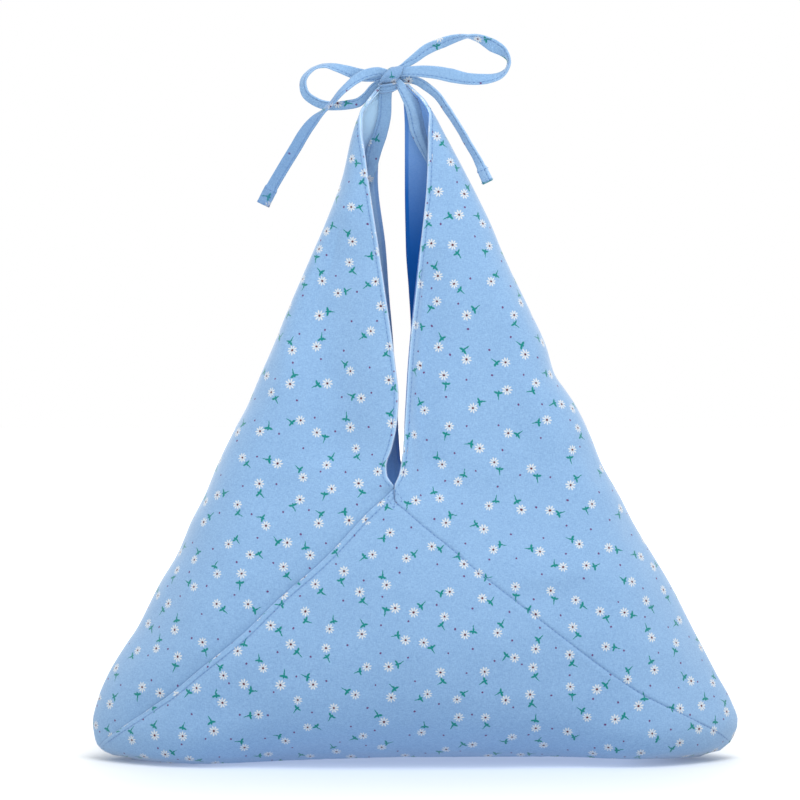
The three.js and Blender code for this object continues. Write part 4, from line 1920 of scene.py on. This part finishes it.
@dataclass(frozen=True)
class LiningShades:
    """Painted light and shade on the lining: paler in the left tip, a deeper blue inside the right wing and
    low down.
    """

    # right and right_low paint shade inside the right wing, tip paints light in the left tip, low paints
    # shade low inside.
    right_x: Pair = (-0.012, -0.006)
    right_z: Pair = (0.150, 0.200)
    right: float = -0.40
    right_low: Shade = Shade(-0.60, 0.380, 0.295)
    tip: Shade = Shade(0.65, 0.362, 0.384)
    low: Shade = Shade(-0.08, 0.215, 0.190)

    def at(self, points: Array) -> Array:
        """Return the lining's painted light and shade: a painted highlight in the left tip, painted shade in
        the right wing.

        Args:
            points: The lining's points.

        Returns:
            A tone for each point.
        """
        x, _, z = points.T
        right = smooth(*self.right_x, x) * smooth(*self.right_z, z)
        return right * (self.right + self.right_low.at(z)) + (1 - right) * (self.tip.at(z) + self.low.at(z))


@dataclass
class Bag:
    """The outer cloth, its lining and its stitched rows."""

    form: BagForm = field(default_factory=BagForm)
    profile: HemProfile = field(default_factory=HemProfile)
    cloth_thick: float = 0.0012
    lining_thick: float = 0.0008
    lining_gap: float = 0.0004
    strip: Pair = (0.28, 0.84)
    row_low: float = 0.010
    row_stop: float = 0.008
    row_top: float = 0.392
    tack: Tack = Tack()
    shades: LiningShades = LiningShades()

    def outer(self, material: Material) -> tuple[Object, ClothMesh]:
        """Return the printed cloth and its mesh data.

        Args:
            material: The printed cloth.

        Returns:
            The piece and its mesh data.
        """
        cloth = BagCloth(self.form, ClothSpacing(), self.profile).build(CREASES, 0)
        made = new_object("bag_cloth", cloth.points, cloth.faces)
        motifs = Print(SEED).apply(made.data, cloth.patches)
        # The tone paints highlights and shade along the hems and seams.
        store(made.data, "tone", "POINT", cloth.tone)
        made.data.materials.append(material)
        self.thicken(made, self.cloth_thick)
        LOG.info("bag_cloth: %d motifs", motifs)
        return made, cloth

    def lining(self, material: Material) -> Object:
        """Return the plain cloth inside.

        Args:
            material: The plain cloth.

        Returns:
            The piece.
        """
        inset = self.cloth_thick + self.lining_gap
        cloth = BagCloth(self.form, COARSE, LiningProfile()).build(CREASES, inset)
        made = new_object("bag_lining", cloth.points, cloth.faces)
        # The lining's tone is painted light and painted shade.
        store(made.data, "tone", "POINT", self.shades.at(cloth.points) + cloth.tone)
        made.data.materials.append(material)
        self.thicken(made, self.lining_thick)
        return made

    def thicken(self, piece: Object, thick: float) -> None:
        """Give a sheet its thickness, inwards.

        Args:
            piece: The sheet.
            thick: How thick it becomes.
        """
        solid = piece.modifiers.new("thickness", "SOLIDIFY")
        solid.thickness = thick
        solid.offset = -1
        solid.use_rim = True
        solid.use_quality_normals = True

    def line(self, cloth: ClothMesh, patch: Patch, off: float, heights: Pair, left_end: bool) -> StitchRow:
        """Return the line at a distance from a panel's edge, between two heights.

        Args:
            cloth: The cloth that the row is sewn on.
            patch: The panel.
            off: The distance from its edge.
            heights: Where the row starts and stops.
            left_end: Whether a panel with two seams is sewn at its left one.

        Returns:
            The row.
        """
        grid = cloth.grids[patch]
        ids = cloth.index[patch]
        low, high = heights
        points, normals = [], []
        for row in range(len(ids)):
            z = grid.points[row, 0, 2]
            places, columns = grid.off[row], ids[row]
            half = len(places) // 2
            if patch in (Patch.BASE_FRONT, Patch.BASE_BACK):
                part = slice(0, half) if left_end else slice(half, None)
                places, columns = places[part], columns[part]
            order = np.argsort(places, kind="stable")
            if low <= z <= high and places.max() > off:
                spots = cloth.points[columns[order]]
                ups = cloth.normals[columns[order]]
                points.append([np.interp(off, places[order], spots[:, k]) for k in range(3)])
                normals.append([np.interp(off, places[order], ups[:, k]) for k in range(3)])
        return StitchRow(np.array(points), np.array(normals))

    def rows(self, cloth: ClothMesh) -> list[StitchRow]:
        """Return every stitched row: the hems of the free edges, the seams of each face and the tacks.

        Args:
            cloth: The outer cloth.

        Returns:
            The rows.
        """
        found = []
        for face in Face:
            base = Patch[f"BASE_{face.name}"]
            above = FOOT_Z[face] + MM, self.row_top
            below = self.row_low, FOOT_Z[face] - self.row_stop
            for side in Side:
                wing = Patch[f"{side.name}_{face.name}"]
                found.append(self.line(cloth, wing, self.profile.free.stitch, above, False))
                hem = self.form.seam_kind(face, side) is Seam.HEM
                off = self.profile.lap.stitch if hem else 0.0
                found.append(self.line(cloth, base, off, below, side is Side.LEFT))
        return found + self.tacks(cloth)

    def tacks(self, cloth: ClothMesh) -> list[StitchRow]:
        """Return the small stitched squares that close the foot of each slit.

        Args:
            cloth: The outer cloth.

        Returns:
            A row for each face of the bag.
        """
        tree = BVHTree.FromPolygons([Vector(p) for p in cloth.points], cloth.faces)
        found = []
        for face in Face:
            aim = Vector((0, -face.value, 0))
            centre = Vector((self.tack.front_x, face.value, FOOT_Z[face] - self.tack.below))
            if face is Face.BACK:
                centre.x = self.form.slit[face, Side.LEFT](np.array(FOOT_Z[face])).item()
            hits = [tree.ray_cast(centre + away, aim) for away in self.tack.path()]
            found.append(StitchRow(np.array([hit[0] for hit in hits]), np.array([hit[1] for hit in hits])))
        return found


def grid_faces(rows: int, columns: int, bands: int) -> list[tuple[int, ...]]:
    """Return the quads of a grid of points that closes round its columns.

    Args:
        rows: How many rows of points there are.
        columns: How many points are in a row.
        bands: How many bands of quads lie between rows: one less, or as many where the rows close too.

    Returns:
        The quads, band by band.
    """
    faces = []
    for i in range(bands):
        for j in range(columns):
            a, b = (i + 1) % rows, (j + 1) % columns
            faces.append((i * columns + j, i * columns + b, a * columns + b, a * columns + j))
    return faces


@dataclass
class Tie:
    """A flat tie of folded cloth along a route, stitched along one edge and turned in at its end."""

    name: str
    route: tuple[RouteRow, ...]
    end_fold: float
    seed: int
    width: float = 0.0068
    thick: float = 0.0016
    step: float = 0.0010
    across: int = 20
    samples: int = 1200
    squareness: int = 6
    # The tone fields paint light and shade: rim_tone a highlight on the edges, row_tone shade in the stitch
    # groove, fold_tone shade on the fold; low_tone and tail_tone make the start and tail paler above zero and
    # darker below it, as painted light and shade.
    rim_tone: float = 0.25
    rim_start: float = 0.86
    row_tone: float = -0.55
    row_width: float = 0.07
    low_tone: float = 0
    low_end: float = 0.058
    tail_tone: float = 0
    tail_length: float = 0.09
    fade: float = 0.8
    fold_tone: float = -0.6
    fold_place: float = 0.15
    fold_dark: float = 0.35
    fold_width: float = 0.14
    groove: float = 0.00022
    groove_width: float = 0.09
    rumple: float = 0.00030
    rumple_size: float = 0.0055
    end_wide: float = 1.14
    end_thick: float = 1.7
    end_step: float = 0.0008
    end_rows: Pair = (0.0012, 0.0014)
    end_reach: float = 0.8
    end_points: int = 9
    bare: int = 2

    def __post_init__(self) -> None:
        """Work out the line, its directions and the sizes along it."""
        knots = np.array([(r.x, r.y, r.z) for r in self.route])
        chord = np.linalg.norm(np.diff(knots, axis=0), axis=1)
        at = np.concatenate([[0], np.cumsum(np.sqrt(chord))])
        fine = np.linspace(0, at[-1], self.samples)
        line = np.stack([self.spline(at, knots[:, k], fine) for k in range(3)], axis=1)
        run = np.concatenate([[0], np.cumsum(np.linalg.norm(np.diff(line, axis=0), axis=1))])
        self.length = float(run[-1])
        even = np.linspace(0, self.length, round(self.length / self.step) + 1)
        places = np.interp(even, run, fine)
        self.line = np.stack([np.interp(even, run, line[:, k]) for k in range(3)], axis=1)
        turn = np.radians(np.interp(places, at, [r.turn for r in self.route]))
        block = smooth(self.end_fold + self.end_step, self.end_fold, self.length - even)
        share = np.interp(places, at, [r.width for r in self.route])
        self.half = self.width / 2 * share * (1 + (self.end_wide - 1) * block)
        self.depth = self.thick / 2 * (1 + (self.end_thick - 1) * block)
        self.fold = np.interp(places, at, [r.fold for r in self.route])[:, None]
        self.row = np.interp(places, at, [r.row for r in self.route])[:, None]
        self.across_way, self.out_way = self.frames(turn)

    def spline(self, at: Array, value: Array, fine: Array) -> Array:
        """Return a smooth curve through values, with slopes from each point's neighbours.

        Args:
            at: Where each value lies.
            value: The values.
            fine: Where to read the curve.

        Returns:
            The curve's values.
        """
        slope = np.gradient(value, at)
        i = np.clip(np.searchsorted(at, fine, side="right") - 1, 0, len(at) - 2)
        span = at[i + 1] - at[i]
        return between(value, slope, i, span, (fine - at[i]) / span)

    def frames(self, turn: Array) -> tuple[Array, Array]:
        """Return the directions across and out of the flat side at each point.

        Args:
            turn: How far the flat side is turned at each point.

        Returns:
            Unit vectors across and out, a row for each point.
        """
        along = np.gradient(self.line, axis=0)
        along /= np.linalg.norm(along, axis=1, keepdims=True)
        out = np.array([0.0, 1.0, 0.0]) - along * along[:, 1:2]
        out /= np.linalg.norm(out, axis=1, keepdims=True)
        across = np.cross(out, along)
        cosine, sine = np.cos(turn)[:, None], np.sin(turn)[:, None]
        return across * cosine + np.cross(along, across) * sine, out * cosine + np.cross(along, out) * sine

    def surface(self, u: Array, side: Array) -> Array:
        """Return points of the strip.

        Args:
            u: Places across, from -1 to 1, a row for each step along the strip.
            side: 1 on the far face, -1 on the near one.

        Returns:
            A row of points for each step along the strip.
        """
        groove = self.groove * hump(u, self.row, self.groove_width)
        swell = np.maximum(1 - np.abs(u) ** self.squareness, 0) ** 0.5
        lift = side * (swell * self.depth[:, None] - groove)
        lift = lift + self.fold * np.maximum(u - self.fold_place, 0)
        flat = self.line[:, None] + self.across_way[:, None] * (u * self.half[:, None])[..., None]
        waves = np.array([[noise.noise(Vector(p) / self.rumple_size + Vector((self.seed, 0, 0))) for p in row]
                          for row in flat])
        return flat + self.out_way[:, None] * (lift + self.rumple * waves)[..., None]

    def mesh(self) -> tuple[Array, Faces, Array, Array]:
        """Return the strip's points, faces, tone and each face's patch.

        Returns:
            The four, in that order.
        """
        u = np.sin(np.linspace(-math.pi / 2, math.pi / 2, self.across + 1))
        ring_u = np.concatenate([u, u[-2:0:-1]])
        side = np.concatenate([np.ones(len(u)), -np.ones(len(u) - 2)])
        count, sides = len(self.line), len(ring_u)
        ring_u = np.tile(ring_u, (count, 1))
        rings = self.surface(ring_u, side)
        faces = grid_faces(count, sides, count - 1)
        patches = np.where(np.arange(sides) < self.across, Patch.TIE_BACK.value, Patch.TIE_FRONT.value)
        patches = np.append(np.tile(patches, count - 1), [Patch.TIE_BACK.value] * 2)
        faces.append(tuple(range(sides - 1, -1, -1)))
        faces.append(tuple((count - 1) * sides + j for j in range(sides)))
        # Painted highlight on the edges, painted shade in the stitch groove and on the fold.
        tone = self.rim_tone * smooth(self.rim_start, 1, np.abs(ring_u))
        tone += self.row_tone * hump(ring_u, self.row, self.row_width)
        folded = self.fold / max(self.fold.max(), MM) * hump(ring_u, self.fold_dark, self.fold_width)
        tone += self.fold_tone * folded
        run = np.linspace(0, self.length, count)[:, None]
        tone += self.low_tone * (1 - smooth(self.fade * self.low_end, self.low_end, run))
        tone += self.tail_tone * smooth(self.tail_length, self.fade * self.tail_length, self.length - run)
        return rings.reshape(-1, 3), faces, tone.ravel(), patches

    def rows(self) -> list[StitchRow]:
        """Return the stitched row on each face of the strip, and the ones that hold its turned end.

        Returns:
            The rows.
        """
        found = []
        for side in (-1.0, 1.0):
            sewn = slice(self.bare, -self.bare)
            points = self.surface(self.row, np.array([side]))[:, 0]
            found.append(StitchRow(points[sewn], side * self.out_way[sewn]))
            u = np.linspace(-self.end_reach, self.end_reach, self.end_points)
            whole = self.surface(np.tile(u, (len(self.line), 1)), np.full(len(u), side))
            for back in (self.end_fold - self.end_rows[0], self.end_rows[1]):
                i = len(self.line) - 1 - round(back / self.step)
                found.append(StitchRow(whole[i], np.tile(side * self.out_way[i], (len(u), 1))))
        return found


def stacked(x: Array, y: Array, z: Array) -> Array:
    """Return points in rows and columns from their coordinates."""
    return np.stack(np.broadcast_arrays(x, y, z), axis=-1)


def closed_mesh(points: Array) -> tuple[Array, Faces]:
    """Return the points and faces of a grid that closes both ways."""
    rows, columns = points.shape[:2]
    return points.reshape(-1, 3), grid_faces(rows, columns, rows)


def squared(value: Array, power: float) -> Array:
    """Return a wave with flatter tops."""
    return np.sign(value) * np.abs(value) ** power


class BandFold(NamedTuple):
    """A crease along the knot's band, which sways across it on its way round."""

    depth: float
    place: float
    sway: float
    phase: float
    width: float

    def at(self, across: Array, turn: Array) -> Array:
        """Return how deep the crease is at each place."""
        return self.depth * hump(across, self.place + self.sway * np.cos(turn + self.phase), self.width)


@dataclass
class Knot:
    """The knot: its wound band, the gathered cloth inside and the collar below."""

    centre: Place = (-0.0137, 0, 0.4114)
    lean: float = 0.62
    slope: float = 0.12
    width: float = 0.0100
    height: float = 0.0104
    depth: float = 0.0110
    wall: float = 0.0018
    around: int = 80
    ring: int = 44
    band_power: Pair = (0.45, 0.6)
    folds: tuple[BandFold, ...] = (
        BandFold(0.0007, 0.30, 0.25, -math.pi / 2, 0.10),
        BandFold(0.0006, -0.45, 0.20, 0.7, 0.12),
    )
    waist: Pair = (0.12, 0.6)
    collar_centre: Place = (-0.0162, -0.0002, 0.4042)
    collar_size: Place = (0.0106, 0.0076, 0.0060)
    collar_power: Pair = (0.6, 0.7)
    collar_swell: float = 1.2
    pleats: int = 3
    pleat_height: float = 0.0007
    pleat_sway: float = 0.8
    tilt: Pair = (0.0008, 0.0011)
    core_rows: int = 16
    core_columns: int = 32
    core_longer: float = 0.0010
    core_room: float = 0.0004
    gathers: tuple[int, float] = (9, 0.05)
    # The knot's cloth is painted darker all over: painted shade.
    tone: float = -0.45

    def place(self, points: Array) -> Array:
        """Return points of the upright knot, leaned to the right and moved into place.

        Args:
            points: Points of the upright knot.

        Returns:
            The points in the bag's frame.
        """
        x, y, z = points[..., 0], points[..., 1], points[..., 2]
        leaning = np.stack([x + self.lean * z, y, z + self.slope * x], axis=-1)
        return leaning + np.array(self.centre)

    def around_and_ring(self) -> tuple[Array, Array]:
        """Return the angles round the band and round its wall."""
        turn = np.linspace(0, 2 * math.pi, self.around, endpoint=False)[:, None]
        return turn, np.linspace(0, 2 * math.pi, self.ring, endpoint=False)[None, :]

    def band(self) -> tuple[Array, Faces]:
        """Return the wound band, with crisp edges and creases along its way round.

        Returns:
            Its points and faces.
        """
        turn, ring = self.around_and_ring()
        across = squared(np.cos(ring), self.band_power[0])
        out = squared(np.sin(ring), self.band_power[1])
        crease = sum(fold.at(across, turn) for fold in self.folds) * (out > 0)
        strength, phase = self.waist
        waist = 1 - strength * np.cos(turn * 2 + phase)
        reach = out * self.wall / 2 - crease
        x = across * self.width / 2 * waist
        y = ((self.depth - self.wall) / 2 + reach) * np.sin(turn)
        z = ((self.height - self.wall) / 2 + reach) * np.cos(turn)
        return closed_mesh(self.place(stacked(x, y, z)))

    def collar(self) -> tuple[Array, Faces]:
        """Return the collar of level pleats round the top of the left tie.

        Returns:
            Its points and faces.
        """
        turn, ring = self.around_and_ring()
        wide, deep, high = self.collar_size
        up = squared(np.cos(ring), self.collar_power[0])
        out = squared(np.sin(ring), self.collar_power[1])
        pleat = np.cos(up * math.pi * self.pleats + self.pleat_sway * np.sin(turn)) * (out > 0)
        reach = (out * self.collar_swell - 1) * self.wall / 2 + self.pleat_height * pleat
        x = (wide / 2 + reach) * np.cos(turn)
        y = (deep / 2 + reach) * np.sin(turn)
        z = up * high / 2 + self.tilt[0] * np.cos(turn) + self.tilt[1] * np.sin(turn)
        return closed_mesh(stacked(x, y, z) + np.array(self.collar_centre))

    def core(self) -> tuple[Array, Faces]:
        """Return the gathered cloth inside the band.

        Returns:
            Its points and faces.
        """
        up = np.linspace(0, math.pi, self.core_rows + 1)[:, None]
        turn = np.linspace(0, 2 * math.pi, self.core_columns, endpoint=False)[None, :]
        count, strength = self.gathers
        gather = np.sin(up) * (1 + strength * np.cos(turn * count))
        hidden = self.wall + self.core_room
        x = (self.width / 2 + self.core_longer) * np.cos(up)
        y = (self.depth / 2 - hidden) * gather * np.sin(turn)
        z = (self.height / 2 - hidden) * gather * np.cos(turn)
        points = self.place(stacked(x, y, z)).reshape(-1, 3)
        faces = grid_faces(self.core_rows + 1, self.core_columns, self.core_rows)
        return points, [(first, *rest[::-1]) for first, *rest in faces]


def joined(parts: Sequence[tuple[Array, Faces]]) -> tuple[Array, Faces]:
    """Return several meshes as one.

    Args:
        parts: The points and faces of each.

    Returns:
        The points and faces of all.
    """
    points, faces, count = [], [], 0
    for part_points, part_faces in parts:
        points.append(part_points)
        faces += [tuple(count + v for v in face) for face in part_faces]
        count += len(part_points)
    return np.concatenate(points), faces


def clean(piece: Object) -> None:
    """Merge a piece's doubles and point its faces outwards.

    Args:
        piece: A mesh object.
    """
    mesh = bmesh.new()
    mesh.from_mesh(piece.data)
    bmesh.ops.remove_doubles(mesh, verts=mesh.verts, dist=SAME_PLACE)
    bmesh.ops.recalc_face_normals(mesh, faces=mesh.faces)
    mesh.to_mesh(piece.data)
    mesh.free()
    piece.data.update()


class Bow:
    """The two ties and their knot."""

    def __init__(self, printed: Material, stitcher: Stitching) -> None:
        """Set out the ties and the knot.

        Args:
            printed: The ties' cloth.
            stitcher: What lays their stitches.
        """
        self.printed = printed
        self.stitcher = stitcher
        # Painted light and shade: the left tie's start is darker and its tail paler; the right tie's start is
        # paler and its tail, on the left, darker.
        self.left = Tie("tie_left_cloth", LEFT_TIE, end_fold=0.009, seed=SEED + 1, low_tone=-0.3,
                        tail_tone=0.15)
        self.right = Tie("tie_right_cloth", RIGHT_TIE, end_fold=0.011, seed=SEED + 2, low_tone=0.1,
                         tail_tone=-0.65)

    def dress(self, name: str, points: Array, faces: Faces, tone: Array, patches: Array | None,
              seed: int) -> Object:
        """Return a printed piece of the bow.

        Args:
            name: The piece's name.
            points: Its points.
            faces: Its faces.
            tone: How pale or dark each point is.
            patches: Each face's patch, or None.
            seed: The seed of its print.

        Returns:
            The piece.
        """
        made = new_object(name, points, faces)
        store(made.data, "tone", "POINT", tone)
        clean(made)
        Print(seed, **TIE_PRINT).apply(made.data, patches)
        made.data.materials.append(self.printed)
        return made

    def tie(self, tie: Tie, node: str, pieces: list[Object]) -> None:
        """Make one tie with its stitches, and fix both to the bag.

        Args:
            tie: The tie.
            node: The CAD node that it stands for.
            pieces: Not used.
        """
        made = self.dress(tie.name, *tie.mesh(), tie.seed)
        stitches = self.stitcher.build(f"{node}_stitches", tie.rows())
        ride(stitches, "tie_cloth")
        ride(made, "tie_cloth", node)
        LOG.info("%s: %.3f m long", tie.name, tie.length)

    def build(self) -> None:
        """Make the knot and both ties."""
        knot = Knot()
        points, faces = joined([knot.band(), knot.collar(), knot.core()])
        # The knot's tone is painted shade.
        made = self.dress("knot", points, faces, np.full(len(points), knot.tone), None, SEED + 3)
        ride(made, "tie_cloth", "tie_left")
        self.tie(self.left, "tie_left", [made])
        self.tie(self.right, "tie_right", [])


class Lamp(NamedTuple):
    """A light: its place, size, power and colour."""

    name: str
    place: Place
    size: float
    power: float
    color: Place = (1, 1, 1)


@dataclass
class Studio:
    """The camera, lights and floor."""

    target: Place = (-0.009, 0.0, 0.2166)
    distance: float = 3.2
    elevation: float = math.radians(3.5)
    view_width: float = 0.48
    sensor: float = 36
    lamps: tuple[Lamp, ...] = (
        Lamp("key", (0.45, -0.95, 2.5), 1.3, 43),
        Lamp("low", (-0.5, -2.2, 0.12), 1.0, 11, (0.62, 0.86, 1.0)),
    )
    inside: Lamp = Lamp("inside", (-0.012, 0, 0.125), 0.03, 0.06, (0.55, 0.75, 1.0))
    floor_half: float = 3
    floor_z: float = -0.0003

    def camera(self) -> None:
        """Place the camera in front, a little above the bag's middle."""
        data = bpy.data.cameras.new("camera")
        data.sensor_width = self.sensor
        data.lens = self.sensor * self.distance / self.view_width
        made = show("camera", data)
        away = Vector((0, -math.cos(self.elevation), math.sin(self.elevation)))
        made.location = Vector(self.target) + away * self.distance
        made.rotation_euler = (math.pi / 2 - self.elevation, 0, 0)
        bpy.context.scene.camera = made

    def light(self, lamp: Lamp, kind: str) -> Object:
        """Return a new light of that kind, in its place.

        Args:
            lamp: What it is like.
            kind: The kind of light.

        Returns:
            The light's object.
        """
        data = bpy.data.lights.new(lamp.name, kind)
        data.energy = lamp.power
        data.color = lamp.color
        made = show(lamp.name, data)
        made.location = lamp.place
        return made

    def soft_light(self, lamp: Lamp) -> None:
        """Place a square soft light that faces the bag's middle.

        Args:
            lamp: What it is like.
        """
        made = self.light(lamp, "AREA")
        made.data.size = lamp.size
        away = Vector(self.target) - Vector(lamp.place)
        made.rotation_euler = away.to_track_quat("-Z", "Y").to_euler()

    def glow(self, lamp: Lamp) -> None:
        """Place the light that comes through the cloth.

        Args:
            lamp: What it is like.
        """
        made = self.light(lamp, "POINT")
        made.data.shadow_soft_size = lamp.size
        made.visible_camera = False

    def build(self) -> None:
        """Make the camera, the lights, the sky and the floor."""
        self.camera()
        for lamp in self.lamps:
            self.soft_light(lamp)
        self.glow(self.inside)
        world = bpy.data.worlds.new("studio")
        world.use_nodes = True
        sky = world.node_tree.nodes["Background"]
        sky.inputs["Color"].default_value = (1, 1, 1, 1)
        sky.inputs["Strength"].default_value = 1.0
        bpy.context.scene.world = world
        bpy.context.scene.view_settings.view_transform = "Standard"
        half, z = self.floor_half, self.floor_z
        corners = np.array([(-half, -half, z), (half, -half, z), (half, half, z), (-half, half, z)])
        floor = new_object("floor", corners, [(0, 1, 2, 3)])
        floor.data.materials.append(FloorFinish().build())


def ride(piece: Object, slot: str, *nodes: str) -> None:
    """Fix a piece to the bag, hide the CAD nodes that it replaces and log its slot.

    Args:
        piece: The piece.
        slot: Its material slot.
        nodes: The CAD nodes that it replaces.
    """
    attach(piece, ROOT)
    if nodes:
        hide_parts(*nodes)
    LOG.info("%s: %d faces, slot %s", piece.name, len(piece.data.polygons), slot)


def main() -> None:
    """Build the studio, the bow and the bag, and fix each piece to the bag."""
    logging.basicConfig(level=logging.INFO, format="%(message)s")
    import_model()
    Studio().build()
    printed, plain, thread = PRINTED.build(), LINING.build(), THREAD.build()

    stitcher = Stitching(StitchTree(), thread)
    Bow(printed, stitcher).build()
    bag = Bag()
    outer, cloth = bag.outer(printed)
    ride(outer, "printed_cloth", "body")
    lining = bag.lining(plain)
    ride(lining, "lining_cloth", "lining")
    stitches = stitcher.build("seam_stitches", bag.rows(cloth))
    ride(stitches, "printed_cloth")


if __name__ == "__main__":
    main()
